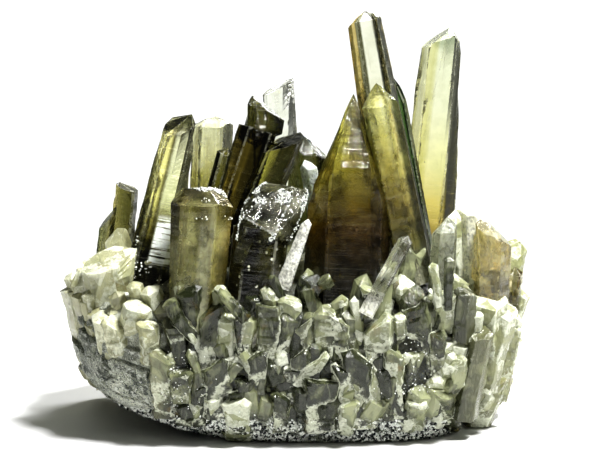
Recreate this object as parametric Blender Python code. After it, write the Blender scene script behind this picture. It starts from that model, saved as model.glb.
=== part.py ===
"""Smoky quartz cluster: dark crystals growing out of a mass of milky quartz.

Lengths below are in millimetres and become metres when a mesh is made.
X runs to the right, Y to the back and Z up; the origin ends at the middle of the underside.
Every crystal is a convex solid: six prism faces, up to six head faces and a few breaks,
each of them a plane that cuts its waste off a large block.
"""

import math
import random
from collections import namedtuple

import bmesh
import bpy
from mathutils import Matrix, Vector

MM = 0.001
MIDDLE = Vector((-0.64, 4.57, 0.0))    # middle of the cluster, which becomes the origin

# Quartz form
SIDES = 6
FACE_REACH = 0.44        # distance of a prism face from the axis, per unit of width
UNEVENNESS = 0.07        # how much the six faces of a crystal differ in distance
MINOR_FACE_STEP = 0.6    # how far the three lesser head faces stand out

# Fit between a crystal and the socket that it grows from
SOCKET_GAP = 0.3
ROOT = 8.0               # length of a large crystal below its visible foot
SMALL_ROOT = 0.5         # the same for the milky crystals that are one piece with the mass
BLOCK = 400.0            # side of the block that a crystal is cut from

# Milky quartz mass: height, then how far it reaches to the left, right, front and back
RINGS = (
    (0.0, -25.0, 40.5, -22.5, 29.0),
    (3.5, -39.0, 43.0, -26.0, 32.0),
    (9.0, -49.5, 46.5, -29.0, 35.0),
    (16.0, -55.0, 50.0, -31.0, 38.0),
    (24.0, -57.0, 52.5, -31.5, 40.0),
    (31.0, -56.5, 53.0, -30.0, 39.0),
    (36.5, -52.5, 50.0, -26.0, 36.0),
    (40.0, -40.0, 42.0, -17.0, 29.0),
)
RING_POINTS = 26
RING_SQUARENESS = 0.70   # below 1 the outline fills its corners more than an ellipse does
RING_ROUGHNESS = 1.1
CROWN_HEIGHT = 42.0

Crystal = namedtuple("Crystal", "foot tip width depth taper turn head shift breaks root")


def crystal(foot, tip, width, depth, taper=1.0, turn=0.0, head=1.2, shift=(0.0, 0.0), breaks=(), root=ROOT):
    """Describe a crystal by its visible foot, its tip and its width and depth at the foot.

    taper is the width at the tip over that at the foot, head is how far the point rises for
    each unit inwards (0 for a flat end), and shift moves the point across and inwards.
    breaks are (point, direction) pairs of fracture planes, and root is the hidden length below the foot.
    """
    return Crystal(foot, tip, width, depth, taper, turn, head, shift, breaks, root)


LEFT = (
    crystal((-36.0, -13.0, 35.0), (-27.4, -8.0, 80.0), 14.6, 11.5, taper=0.53, head=0.0,
            breaks=(((-27.8, -11.6, 73.6), (-0.05, -0.55, 0.83)),
                    ((-31.0, -9.0, 76.2), (-0.62, -0.1, 0.78)))),
)

BACK_MILKY = (
    crystal((-22.0, 12.0, 44.0), (-20.3, 13.0, 76.6), 9.8, 8.4, taper=0.95, head=0.6, shift=(0.6, 1.0),
            breaks=(((-20.5, 13.0, 75.8), (0.04, -0.25, 0.97)),)),
)

DARK_GROUP = (
    crystal((-19.8, -1.5, 45.5), (-9.9, 3.0, 73.5), 7.8, 7.4, taper=1.12, turn=8.0, head=0.0),
    crystal((-8.8, 2.6, 69.4), (-6.8, 4.5, 81.5), 11.2, 9.4, taper=0.92, turn=20.0, head=0.0,
            breaks=(((-12.6, 2.0, 79.6), (-0.95, -0.1, 0.2)),
                    ((-9.6, 1.0, 79.2), (-0.03, -0.5, 0.86)),
                    ((-4.4, 2.0, 76.6), (0.58, -0.12, 0.8)),
                    ((-4.2, 2.0, 72.4), (0.3, -0.2, -0.93)),
                    ((-12.6, 1.0, 72.0), (-0.62, -0.3, -0.72)))),
    crystal((-23.0, -3.2, 49.0), (-17.5, -2.0, 69.6), 4.0, 4.6, taper=0.95, turn=12.0, head=0.8, shift=(0.6, 0.5)),
    crystal((-13.4, -2.6, 45.0), (-1.0, 1.2, 76.0), 11.0, 9.0, taper=0.84, turn=-6.0, head=0.0,
            breaks=(((-2.0, 0.0, 70.8), (-0.24, -0.32, 0.92)),
                    ((-5.2, 0.0, 70.2), (-0.5, -0.2, 0.84)))),
)

BACK_DARK = (
    crystal((4.0, 13.5, 46.0), (5.4, 14.5, 70.0), 8.4, 8.0, taper=0.9, turn=10.0, head=0.55, shift=(-1.4, 0.6)),
    crystal((10.0, 15.0, 44.0), (9.8, 15.0, 66.5), 6.2, 6.0, taper=0.9, turn=25.0, head=0.7, shift=(-0.8, 0.0)),
)

GREY_SLANTED = (
    crystal((6.8, 3.6, 44.0), (2.6, 4.6, 66.0), 5.6, 5.0, taper=0.8, turn=20.0, head=1.3, shift=(-0.5, 0.0)),
)

BACK_CLEAR = (
    crystal((-2.4, 30.0, 40.0), (-5.4, 32.0, 88.0), 9.2, 8.0, taper=0.93, turn=4.0, head=0.0,
            breaks=(((-5.5, 32.0, 83.0), (-0.46, -0.18, 0.87)),)),
)

OLIVE_PAIR = (
    crystal((-46.0, 12.0, 37.0), (-43.2, 12.0, 60.5), 6.6, 6.0, taper=0.9, turn=10.0, head=0.0,
            breaks=(((-43.4, 12.0, 58.2), (0.34, -0.2, 0.92)),)),
    crystal((-50.0, 11.4, 36.0), (-47.9, 11.4, 54.0), 4.8, 4.6, taper=0.95, turn=4.0, head=0.0,
            breaks=(((-48.4, 11.0, 50.2), (-0.74, -0.2, 0.64)),)),
)

FRONT_LEFT = (
    crystal((-23.8, -27.4, 28.0), (-21.6, -24.2, 66.0), 13.6, 10.5, taper=1.2, turn=-4.0, head=0.0,
            breaks=(((-29.2, -25.0, 58.2), (-0.66, -0.2, 0.72)),
                    ((-22.8, -27.6, 59.4), (-0.02, -0.5, 0.86)),
                    ((-16.4, -25.0, 58.2), (0.6, -0.16, 0.78)),
                    ((-22.5, -24.0, 61.4), (0.03, 0.1, 0.99))),
            root=5.0),
)

FRONT_DRUZY = (
    crystal((-10.2, -25.0, 33.0), (-8.0, -23.4, 52.0), 13.6, 11.0, taper=1.04, turn=6.0, head=0.0),
    crystal((-8.6, -24.6, 49.6), (-3.6, -19.6, 63.0), 15.6, 11.0, taper=0.96, turn=-8.0, head=0.0,
            breaks=(((-6.5, -25.2, 55.8), (0.1, -0.72, 0.69)),
                    ((-10.6, -23.0, 58.0), (-0.6, -0.2, 0.78)),
                    ((-13.0, -23.0, 54.0), (-0.99, 0.05, 0.12)),
                    ((-4.0, -21.0, 60.4), (-0.04, -0.24, 0.96)),
                    ((-6.4, -28.6, 49.2), (0.3, -0.3, -0.9)))),
    crystal((-0.4, -26.2, 45.6), (3.0, -26.4, 54.6), 3.4, 2.6, taper=0.7, turn=15.0, head=1.6),
)

TALL_GROUP = (
    crystal((11.6, -22.4, 34.0), (13.7, -16.6, 83.4), 21.4, 15.0, taper=0.93, turn=5.0, head=3.0),
    crystal((25.2, -11.6, 50.0), (15.9, -12.0, 102.8), 13.4, 10.0, taper=0.64, turn=3.0, head=0.8, shift=(0.6, 0.0)),
    crystal((27.0, -19.6, 46.0), (19.0, -18.8, 86.0), 9.6, 8.4, taper=0.93, turn=-12.0, head=1.5),
    crystal((30.4, -6.4, 50.0), (23.6, -6.8, 87.0), 5.0, 5.6, taper=0.85, turn=10.0, head=3.4),
)

RIGHT_TALL = (
    crystal((32.4, 4.4, 46.0), (36.7, 4.0, 98.6), 16.4, 12.0, taper=0.63, turn=-3.0, head=0.72, shift=(1.7, 0.4)),
)

RIGHT_BLOCK = (
    crystal((44.0, -13.4, 33.0), (42.4, -12.0, 57.0), 10.0, 9.0, taper=0.92, turn=8.0, head=0.8, shift=(-1.0, 0.0),
            breaks=(((43.6, -14.0, 54.4), (0.42, -0.3, 0.86)),)),
    crystal((46.8, -21.0, 32.0), (47.4, -19.0, 53.0), 9.4, 8.4, taper=0.98, turn=-8.0, head=0.0,
            breaks=(((45.6, -21.0, 50.6), (0.34, -0.45, 0.82)),
                    ((49.6, -19.0, 48.8), (0.68, -0.1, 0.72))), root=5.0),
)

FAR_RIGHT = (
    crystal((51.8, -11.4, 26.0), (53.4, -11.4, 41.0), 5.4, 5.0, taper=0.9, turn=10.0, head=0.9, root=2.0),
)

GREY_DRUZY = (
    crystal((34.8, -26.4, 34.0), (35.2, -24.6, 54.8), 7.2, 6.4, taper=0.86, turn=12.0, head=1.3, shift=(0.5, 0.0),
            root=5.0),
)

LEANING_CLEAR = (
    crystal((17.2, -31.4, 34.4), (26.2, -29.6, 51.0), 3.8, 3.6, taper=0.95, turn=6.0, head=1.2, root=2.0),
)

# Node name, its crystals and its colour, roughness
GROUPS = (
    ("crystal_left_honey", LEFT, (0.36, 0.27, 0.06), 0.12),
    ("crystal_back_milky", BACK_MILKY, (0.52, 0.50, 0.30), 0.25),
    ("crystals_dark_group", DARK_GROUP, (0.09, 0.07, 0.02), 0.18),
    ("crystals_back_dark", BACK_DARK, (0.10, 0.11, 0.06), 0.2),
    ("crystal_grey_slanted", GREY_SLANTED, (0.42, 0.46, 0.40), 0.4),
    ("crystal_back_clear", BACK_CLEAR, (0.74, 0.77, 0.76), 0.1),
    ("crystals_olive_pair", OLIVE_PAIR, (0.20, 0.20, 0.07), 0.2),
    ("crystal_front_left", FRONT_LEFT, (0.25, 0.22, 0.10), 0.3),
    ("crystals_front_druzy", FRONT_DRUZY, (0.10, 0.10, 0.06), 0.55),
    ("crystals_tall_group", TALL_GROUP, (0.24, 0.19, 0.06), 0.12),
    ("crystal_right_tall", RIGHT_TALL, (0.55, 0.50, 0.26), 0.1),
    ("crystals_right_block", RIGHT_BLOCK, (0.28, 0.24, 0.11), 0.25),
    ("crystal_far_right", FAR_RIGHT, (0.26, 0.21, 0.08), 0.2),
    ("crystal_grey_druzy", GREY_DRUZY, (0.34, 0.35, 0.27), 0.45),
    ("crystal_leaning_clear", LEANING_CLEAR, (0.52, 0.54, 0.47), 0.15),
)
MATRIX_COLOUR = (0.60, 0.60, 0.52)
MATRIX_ROUGHNESS = 0.5

# Milky columns on the front, each fused to the mass: tip x, tip height, length, width, lean to the right
FRONT_COLUMNS = (
    (-15.6, 36.6, 17.0, 5.6, 0.04), (-11.4, 34.2, 11.0, 4.6, 0.05), (-18.0, 26.4, 17.0, 8.0, 0.05),
    (-7.8, 25.2, 17.0, 8.8, 0.06), (-2.4, 36.8, 13.0, 7.2, 0.13), (2.9, 35.6, 17.0, 6.8, 0.07),
    (8.4, 36.8, 17.0, 6.4, 0.02), (5.6, 20.8, 16.0, 8.0, 0.06), (16.3, 25.8, 20.0, 8.8, 0.02),
    (19.0, 36.2, 13.0, 9.4, 0.02), (27.0, 26.4, 22.0, 7.8, 0.02), (-0.8, 24.6, 17.0, 6.0, 0.06),
    (10.9, 22.2, 17.0, 4.8, 0.02), (22.4, 25.2, 18.0, 4.6, 0.02), (17.0, 39.4, 9.0, 4.0, 0.0),
    (27.7, 40.0, 15.0, 6.4, 0.04), (34.6, 26.6, 22.0, 7.0, 0.04), (-24.4, 41.8, 15.0, 8.0, -0.07),
    (-22.6, 20.4, 14.0, 6.6, 0.0), (-13.2, 17.2, 13.0, 5.4, 0.04), (24.2, 33.0, 7.0, 3.4, 0.0),
    (31.4, 37.2, 14.0, 4.6, 0.06), (-10.2, 39.2, 9.0, 4.8, 0.1), (-5.4, 39.0, 9.0, 5.0, 0.1),
    (12.6, 33.6, 12.0, 5.0, 0.05), (-28.6, 33.6, 14.0, 6.0, -0.1),
)
FRONT_COLUMN_PROUD = 2.6     # how far a column stands out of the face behind it
WAIST = 24.0                 # height where the mass is widest
FRONT_COLUMN_BREADTH = 1.15

# Other milky crystals, fused to the mass: foot, tip and width
SHOULDER_CRYSTALS = (
    ((-20.5, -34.0, 22.6), (-31.6, -32.0, 36.0), 3.0),
    ((-11.8, -33.0, 32.0), (-17.4, -33.6, 40.2), 3.2),
    ((-33.6, -23.0, 34.0), (-34.6, -24.6, 49.0), 5.6),
    ((-32.0, -26.0, 27.0), (-34.4, -29.6, 38.4), 6.2),
    ((-36.0, -24.0, 24.0), (-39.0, -27.6, 36.0), 5.4),
    ((-41.0, -22.0, 28.0), (-43.6, -24.6, 40.0), 6.6),
    ((-46.0, -14.0, 32.0), (-49.4, -14.6, 46.4), 8.6),
    ((-43.4, -18.0, 34.0), (-43.0, -18.4, 49.6), 7.4),
    ((-49.0, -11.0, 28.0), (-53.0, -12.0, 41.6), 7.6),
    ((-41.0, -6.0, 36.0), (-45.6, -4.0, 50.0), 7.4),
    ((-49.0, 0.0, 30.0), (-53.6, 0.0, 43.0), 7.6),
    ((24.8, -21.0, 34.0), (27.6, -21.6, 52.0), 8.6),
    ((20.6, -25.0, 32.0), (22.6, -25.0, 45.0), 5.4),
    ((33.6, -29.4, 34.0), (32.4, -31.0, 45.8), 2.6),
    ((35.4, -29.4, 34.0), (36.2, -31.0, 46.6), 2.6),
    ((39.4, -24.0, 26.0), (40.6, -27.6, 40.6), 6.4),
    ((38.6, -14.0, 38.0), (38.0, -15.0, 55.6), 5.6),
    ((40.6, -19.0, 6.0), (44.6, -25.0, 30.0), 7.4),
    ((46.0, -16.0, 12.0), (51.2, -20.0, 35.4), 7.0),
    ((49.0, -8.0, 18.0), (55.4, -10.0, 37.0), 6.4),
    ((50.6, -2.0, 26.0), (54.6, -2.0, 48.0), 7.4),
    ((45.6, -4.0, 34.0), (48.6, -4.0, 52.4), 7.0),
    ((-0.6, -14.0, 36.0), (-1.0, -15.0, 47.0), 6.0),
    ((-29.0, -4.0, 36.0), (-31.0, -3.0, 48.0), 8.0),
    ((24.0, 6.0, 38.0), (22.0, 8.0, 52.0), 8.0),
    ((-33.0, 14.0, 36.0), (-34.0, 15.0, 52.0), 8.6),
    ((-12.0, 16.0, 38.0), (-11.0, 18.0, 54.0), 8.0),
    ((16.0, 20.0, 36.0), (17.0, 23.0, 54.0), 9.0),
)

# Milky crystals that fan out round the sides and the back, in tiers that go up the mass
FAN_SEED = 11
FAN_TIERS = (
    # height of the tips, how far they stand out, rise of the axes, width, how many, first and last angle
    (13.0, 3.4, 0.8, 11.5, 7, -8.0, 140.0),
    (23.0, 3.4, 1.1, 12.0, 8, -4.0, 158.0),
    (33.0, 3.4, 1.5, 11.5, 9, 4.0, 176.0),
    (43.0, 2.6, 2.6, 10.5, 11, 8.0, 200.0),
)
CROWN_COUNT = 14
CROWN_REACH = (38.0, 24.0)
CROWN_TIP = 53.0

# Hollows in the mass: centre and radius
PITS = (
    ((-44.6, -27.0, 15.0), 4.2),
    ((-51.5, -18.0, 25.0), 3.0),
    ((-33.5, -31.0, 15.5), 2.4),
    ((-12.6, -35.2, 29.0), 2.6),
    ((13.2, -35.4, 29.2), 2.4),
    ((31.0, -33.8, 30.6), 2.6),
    ((22.0, -34.6, 9.4), 2.6),
    ((-14.4, -34.2, 10.6), 2.6),
    ((38.4, -29.6, 15.0), 2.6),
    ((52.0, 10.0, 20.0), 3.4),
    ((6.0, 43.0, 22.0), 4.0),
    ((-34.0, 38.0, 24.0), 3.6),
)


def cut_block(planes):
    """Return a bmesh: the part of a large block on the inner side of every (point, normal) plane."""
    mesh = bmesh.new()
    middle = planes[0][0]
    bmesh.ops.create_cube(mesh, size=BLOCK, matrix=Matrix.Translation(middle))
    for point, normal in planes:
        everything = mesh.verts[:] + mesh.edges[:] + mesh.faces[:]
        cut = bmesh.ops.bisect_plane(mesh, geom=everything, dist=0.0005, plane_co=point,
                                     plane_no=normal, clear_outer=True)
        rim = [item for item in cut["geom_cut"] if isinstance(item, bmesh.types.BMEdge)]
        if len(rim) > 2:
            bmesh.ops.edgeloop_fill(mesh, edges=rim)
    bmesh.ops.remove_doubles(mesh, verts=mesh.verts, dist=0.01)
    bmesh.ops.recalc_face_normals(mesh, faces=mesh.faces)
    return mesh


def crystal_planes(form, grow=0.0):
    """Planes of a crystal as (point, outward normal), each moved outwards by grow."""
    foot = Vector(form.foot)
    tip = Vector(form.tip)
    length = (tip - foot).length
    along = (tip - foot) / length
    across = (Vector((1.0, 0.0, 0.0)) - along * along.x).normalized()
    inward = along.cross(across)
    apex = tip + across * form.shift[0] + inward * form.shift[1]

    planes = [(foot - along * (form.root + grow), -along), (tip + along * grow, along)]
    for side in range(SIDES):
        angle = math.radians(form.turn - 90.0 + 60.0 * side)
        radial = across * math.cos(angle) + inward * math.sin(angle)
        uneven = 1.0 + UNEVENNESS * math.sin(2.3 * side + form.foot[0])
        reach = FACE_REACH * uneven * math.hypot(form.width * math.cos(angle), form.depth * math.sin(angle))
        normal = (radial + along * (reach * (1.0 - form.taper) / length)).normalized()
        planes.append((foot + radial * reach + normal * grow, normal))
        if form.head > 0.0:
            normal = (radial * form.head + along).normalized()
            step = MINOR_FACE_STEP * (side % 2)
            planes.append((apex + normal * (step + grow), normal))
    for point, direction in form.breaks:
        normal = Vector(direction).normalized()
        planes.append((Vector(point) + normal * grow, normal))
    return planes


def object_from(mesh, name):
    """Turn a bmesh in millimetres into an object in metres, with the cluster's middle at the origin."""
    bmesh.ops.translate(mesh, vec=-MIDDLE, verts=mesh.verts)
    bmesh.ops.scale(mesh, vec=(MM, MM, MM), verts=mesh.verts)
    data = bpy.data.meshes.new(name)
    mesh.to_mesh(data)
    mesh.free()
    made = bpy.data.objects.new(name, data)
    bpy.context.scene.collection.objects.link(made)
    return made


def as_cutter(piece, group):
    """Keep a helper solid out of the model and put it in a collection of cutters."""
    piece.hide_render = True
    piece.display_type = "WIRE"
    for collection in list(piece.users_collection):
        collection.objects.unlink(piece)
    group.objects.link(piece)


def helper_group(name):
    """A collection in the scene for solids that only shape others."""
    group = bpy.data.collections.new(name)
    bpy.context.scene.collection.children.link(group)
    return group


def join(piece, group, operation):
    """Add a Boolean of a whole collection to a piece."""
    change = piece.modifiers.new(group.name, "BOOLEAN")
    change.operation = operation
    change.operand_type = "COLLECTION"
    change.collection = group
    change.solver = "EXACT"


def settle(piece):
    """Fix a piece's Booleans into its mesh and drop the chips that they cut loose."""
    view = bpy.context.evaluated_depsgraph_get()
    data = bpy.data.meshes.new_from_object(piece.evaluated_get(view))
    mesh = bmesh.new()
    mesh.from_mesh(data)
    unseen = set(mesh.verts)
    bodies = []
    while unseen:
        body = [unseen.pop()]
        for vert in body:
            for edge in vert.link_edges:
                other = edge.other_vert(vert)
                if other in unseen:
                    unseen.remove(other)
                    body.append(other)
        bodies.append(body)
    bodies.sort(key=len)
    for body in bodies[:-1]:
        bmesh.ops.delete(mesh, geom=body, context="VERTS")
    mesh.to_mesh(data)
    mesh.free()
    piece.modifiers.clear()
    piece.data = data


def material(name, colour, roughness):
    """A plain material with a colour and a roughness."""
    made = bpy.data.materials.new(name)
    made.use_nodes = True
    shader = made.node_tree.nodes["Principled BSDF"]
    shader.inputs["Base Color"].default_value = (*colour, 1.0)
    shader.inputs["Roughness"].default_value = roughness
    shader.inputs["Metallic"].default_value = 0.0
    return made


def ring_reach(height):
    """Left, right, front and back reach of the mass at a height, between its rings."""
    for low, high in zip(RINGS, RINGS[1:]):
        if height <= high[0]:
            part = max(0.0, (height - low[0]) / (high[0] - low[0]))
            return [a + (b - a) * part for a, b in zip(low[1:], high[1:])]
    return list(RINGS[-1][1:])


def rim_point(reach, angle):
    """Point of a squarish oval with the given left, right, front and back reach."""
    left, right, front, back = reach
    c, s = math.cos(angle), math.sin(angle)
    middle_x = (left + right) / 2.0
    half_x = (right - left) / 2.0
    half_y = back if s > 0.0 else -front
    x = middle_x + half_x * math.copysign(abs(c) ** RING_SQUARENESS, c)
    y = half_y * math.copysign(abs(s) ** RING_SQUARENESS, s)
    return x, y


def milky_mass():
    """The lump that everything grows from, as rings of points closed at both ends."""
    chance = random.Random(5)
    mesh = bmesh.new()
    rings = []
    for level, (height, *reach) in enumerate(RINGS):
        ring = []
        for step in range(RING_POINTS):
            angle = 2.0 * math.pi * (step + 0.5 * (level % 2)) / RING_POINTS
            x, y = rim_point(reach, angle)
            rough = RING_ROUGHNESS if level else 0.35 * RING_ROUGHNESS
            swell = chance.uniform(-rough, rough)
            lift = chance.uniform(-1.2, 1.2) if 0 < level else 0.0
            ring.append(mesh.verts.new((x + swell * math.cos(angle), y + swell * math.sin(angle), height + lift)))
        rings.append(ring)
    for low, high in zip(rings, rings[1:]):
        for step in range(RING_POINTS):
            after = (step + 1) % RING_POINTS
            mesh.faces.new((low[step], low[after], high[after], high[step]))
    mesh.faces.new(list(reversed(rings[0])))
    crown = mesh.verts.new((0.0, 4.0, CROWN_HEIGHT))
    for step in range(RING_POINTS):
        mesh.faces.new((rings[-1][step], rings[-1][(step + 1) % RING_POINTS], crown))
    bmesh.ops.triangulate(mesh, faces=[face for face in mesh.faces if len(face.verts) == 4])
    bmesh.ops.recalc_face_normals(mesh, faces=mesh.faces)
    return object_from(mesh, "matrix")


def front_surface(x, height):
    """How far forward the mass reaches at a place on its front."""
    left, right, front, back = ring_reach(height)
    middle = (left + right) / 2.0
    half = (right - left) / 2.0
    c = min(0.98, abs((x - middle) / half))
    bend = max(0.0, 1.0 - c ** (2.0 / RING_SQUARENESS)) ** (RING_SQUARENESS / 2.0)
    return front * bend


def small_crystals():
    """Describe the milky crystals that are one piece with the mass."""
    chance = random.Random(FAN_SEED)
    forms = []
    for x, height, length, width, lean in FRONT_COLUMNS:
        low = max(2.5, height - length)
        broad = FRONT_COLUMN_BREADTH * width
        proud = FRONT_COLUMN_PROUD * chance.uniform(0.7, 1.3)
        foot = (x - lean * length, front_surface(x, low) + 0.44 * broad - 0.5 * proud, low)
        tip = (x, front_surface(x, WAIST) + 0.44 * broad - proud, height)
        forms.append(crystal(foot, tip, broad, broad, taper=0.92, turn=chance.uniform(-25.0, 25.0),
                             head=chance.uniform(0.35, 1.2), root=SMALL_ROOT,
                             shift=(0.25 * broad * chance.uniform(-1.0, 1.0), 0.1 * broad)))
    for foot, tip, width in SHOULDER_CRYSTALS:
        forms.append(crystal(foot, tip, width, 0.9 * width, taper=0.92, turn=chance.uniform(-20.0, 20.0),
                             head=chance.uniform(0.6, 1.3), root=SMALL_ROOT,
                             shift=(0.1 * width * chance.uniform(-1.0, 1.0), 0.0)))
    for height, proud, rise, width, count, start, end in FAN_TIERS:
        for step in range(count):
            share = (step + chance.uniform(0.15, 0.85)) / count
            angle = math.radians(start + share * (end - start))
            size = width * chance.uniform(0.75, 1.3)
            low = height + chance.uniform(-3.0, 3.0)
            x, y = rim_point(ring_reach(low), angle)
            out = Vector((math.cos(angle), math.sin(angle), 0.0))
            aim = (out + Vector((chance.uniform(-0.25, 0.25), 0.0, rise))).normalized()
            tip = Vector((x, y, low)) + out * proud * chance.uniform(0.5, 1.3)
            foot = tip - aim * size * 1.6
            forms.append(crystal(tuple(foot), tuple(tip), size, size, taper=0.93, turn=chance.uniform(0.0, 60.0),
                                 head=chance.uniform(0.5, 1.2), root=SMALL_ROOT))
    for step in range(CROWN_COUNT):
        angle = math.radians(14.0 + 156.0 * (step + chance.uniform(0.2, 0.8)) / CROWN_COUNT)
        share = 1.0 if step % 2 else 0.55
        x = CROWN_REACH[0] * share * math.cos(angle) * chance.uniform(0.9, 1.15)
        y = CROWN_REACH[1] * share * math.sin(angle) + 5.0
        size = chance.uniform(8.0, 12.0)
        tip = (1.12 * x, 1.15 * y, CROWN_TIP - 0.14 * abs(x) - chance.uniform(0.0, 5.0))
        forms.append(crystal((x, y, 37.0), tip, size, size, taper=0.9, turn=chance.uniform(0.0, 60.0),
                             head=chance.uniform(0.9, 1.3), root=SMALL_ROOT))
    return forms


def build():
    """Make the mass, the crystals fused to it, and the large crystals in their sockets."""
    matrix = milky_mass()
    matrix.data.materials.append(material("milky_quartz", MATRIX_COLOUR, MATRIX_ROUGHNESS))

    grown = helper_group("grown")
    for index, form in enumerate(small_crystals()):
        as_cutter(object_from(cut_block(crystal_planes(form)), f"grown_{index:03d}"), grown)
    join(matrix, grown, "UNION")

    pits = helper_group("pits")
    for index, (centre, radius) in enumerate(PITS):
        mesh = bmesh.new()
        bmesh.ops.create_icosphere(mesh, subdivisions=1, radius=radius, matrix=Matrix.Translation(centre))
        as_cutter(object_from(mesh, f"pit_{index:02d}"), pits)
    join(matrix, pits, "DIFFERENCE")

    sockets = helper_group("sockets")
    for name, forms, colour, roughness in GROUPS:
        pieces = [object_from(cut_block(crystal_planes(form)), f"{name}_{index}") for index, form in enumerate(forms)]
        first = pieces[0]
        first.name = name
        first.data.materials.append(material(name, colour, roughness))
        if len(pieces) > 1:
            partners = helper_group(name + "_partners")
            for piece in pieces[1:]:
                as_cutter(piece, partners)
            join(first, partners, "UNION")
        for index, form in enumerate(forms):
            socket = object_from(cut_block(crystal_planes(form, SOCKET_GAP)), f"socket_{name}_{index}")
            as_cutter(socket, sockets)
    join(matrix, sockets, "DIFFERENCE")

    # Nothing of a socket or a crystal reaches below the underside
    floor = helper_group("floor")
    mesh = bmesh.new()
    bmesh.ops.create_cube(mesh, size=BLOCK, matrix=Matrix.Translation((0.0, 0.0, -BLOCK / 2.0)))
    as_cutter(object_from(mesh, "underside"), floor)
    join(matrix, floor, "DIFFERENCE")
    settle(matrix)


for item in list(bpy.data.objects):
    bpy.data.objects.remove(item)
build()
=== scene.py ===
# %% [markdown]
# # A smoky quartz cluster
#
# This lesson dresses a cluster of smoky quartz: see-through brown prisms that stand in a mass
# of milky quartz. The solid model of the cluster is already made and fixed, and it is loaded
# first. Each cell after that makes one thing: the camera, the light, a way to write materials,
# the crystals, the milky mass and the sugar-fine grains on it.
#
# A crystal could be carved from a cube by hand, but here each one is worked out with numpy from
# the planes that bound it. That keeps its faces as flat and its edges as straight as they are
# in nature, and it lets every crystal share one short function.

# %% Load the fixed model
import itertools
import math
import random

import bpy
import numpy as np
from mathutils import Matrix, Vector


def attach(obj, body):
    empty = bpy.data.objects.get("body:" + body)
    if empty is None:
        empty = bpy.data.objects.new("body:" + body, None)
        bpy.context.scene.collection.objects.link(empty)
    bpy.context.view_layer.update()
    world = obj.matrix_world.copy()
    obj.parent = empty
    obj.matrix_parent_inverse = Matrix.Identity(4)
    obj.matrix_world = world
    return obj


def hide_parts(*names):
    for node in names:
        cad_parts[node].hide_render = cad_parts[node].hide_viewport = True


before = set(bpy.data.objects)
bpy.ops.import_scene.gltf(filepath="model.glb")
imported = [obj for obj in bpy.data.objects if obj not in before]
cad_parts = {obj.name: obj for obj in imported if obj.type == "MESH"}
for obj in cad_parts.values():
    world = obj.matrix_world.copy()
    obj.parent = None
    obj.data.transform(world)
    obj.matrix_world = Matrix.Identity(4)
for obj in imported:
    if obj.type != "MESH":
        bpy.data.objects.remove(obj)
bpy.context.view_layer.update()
MM = 0.001
MIDDLE = np.array([-0.64, 4.57, 0.0])    # taken off every place below, in millimetres


# %% [markdown]
# ## The camera
#
# The photograph looks almost level at the cluster, from a little above its top edge. A long
# lens from 42 cm away keeps the crystals parallel, as they look there. The lens follows from
# the scale at the cluster: 4 pixels to a millimetre.

# %% Camera
CAMERA_DISTANCE = 0.425
CAMERA_ELEVATION = math.radians(7.0)
CAMERA_LENS = 100.0
SENSOR_WIDTH = 36.0
LOOK_AT = Vector((3.04, -4.57, 48.8)) * MM

camera_data = bpy.data.cameras.new("camera")
camera_data.lens = CAMERA_LENS
camera_data.sensor_width = SENSOR_WIDTH
camera_data.clip_start = 0.01
camera = bpy.data.objects.new("camera", camera_data)
away = Vector((0.0, -math.cos(CAMERA_ELEVATION), math.sin(CAMERA_ELEVATION)))
camera.location = LOOK_AT + away * CAMERA_DISTANCE
camera.rotation_euler = (-away).to_track_quat("-Z", "Y").to_euler()
bpy.context.scene.collection.objects.link(camera)
bpy.context.scene.camera = camera
print("camera at", [round(value, 3) for value in camera.location])

# %% [markdown]
# ## Light and floor
#
# See-through crystal shows what is behind it and mirrors what is beside it. The photograph has
# a blown-out white background, and the crystals are bright where they look through to it and
# nearly black where a face mirrors the darker room behind the camera. So the surroundings are
# white at the back and above, and they fall to grey towards the front. One soft lamp from high
# on the right gives the glints and the shadow, and another from behind makes the tips glow.

# %% Light paths and lamps
scene = bpy.context.scene
scene.view_settings.view_transform = "Standard"
scene.view_settings.look = "Medium High Contrast"
scene.cycles.max_bounces = 20
scene.cycles.transmission_bounces = 16
scene.cycles.glossy_bounces = 8
scene.cycles.diffuse_bounces = 4
scene.cycles.transparent_max_bounces = 16


def lamp(name, place, target, size, watts):
    """A square area lamp at place that faces target."""
    data = bpy.data.lights.new(name, "AREA")
    data.size = size
    data.energy = watts
    made = bpy.data.objects.new(name, data)
    made.location = place
    made.rotation_euler = (Vector(target) - Vector(place)).to_track_quat("-Z", "Y").to_euler()
    scene.collection.objects.link(made)
    print(name, "lamp:", watts, "watts")


lamp("key", (0.22, -0.20, 0.62), (0.0, 0.0, 0.03), 0.12, 10.0)
lamp("rim", (0.22, 0.46, 0.40), (0.0, 0.0, 0.06), 0.24, 4.5)


# %% [markdown]
# ## Writing materials as sums
#
# A finish here is many small masks: a milky root, growth lines, a rubbed edge. Wired by hand
# they are hard to read, so a small class wraps a node's socket and lets Python's own + - and *
# add the Math nodes. Any other node comes from one method of the node tree itself.

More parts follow.
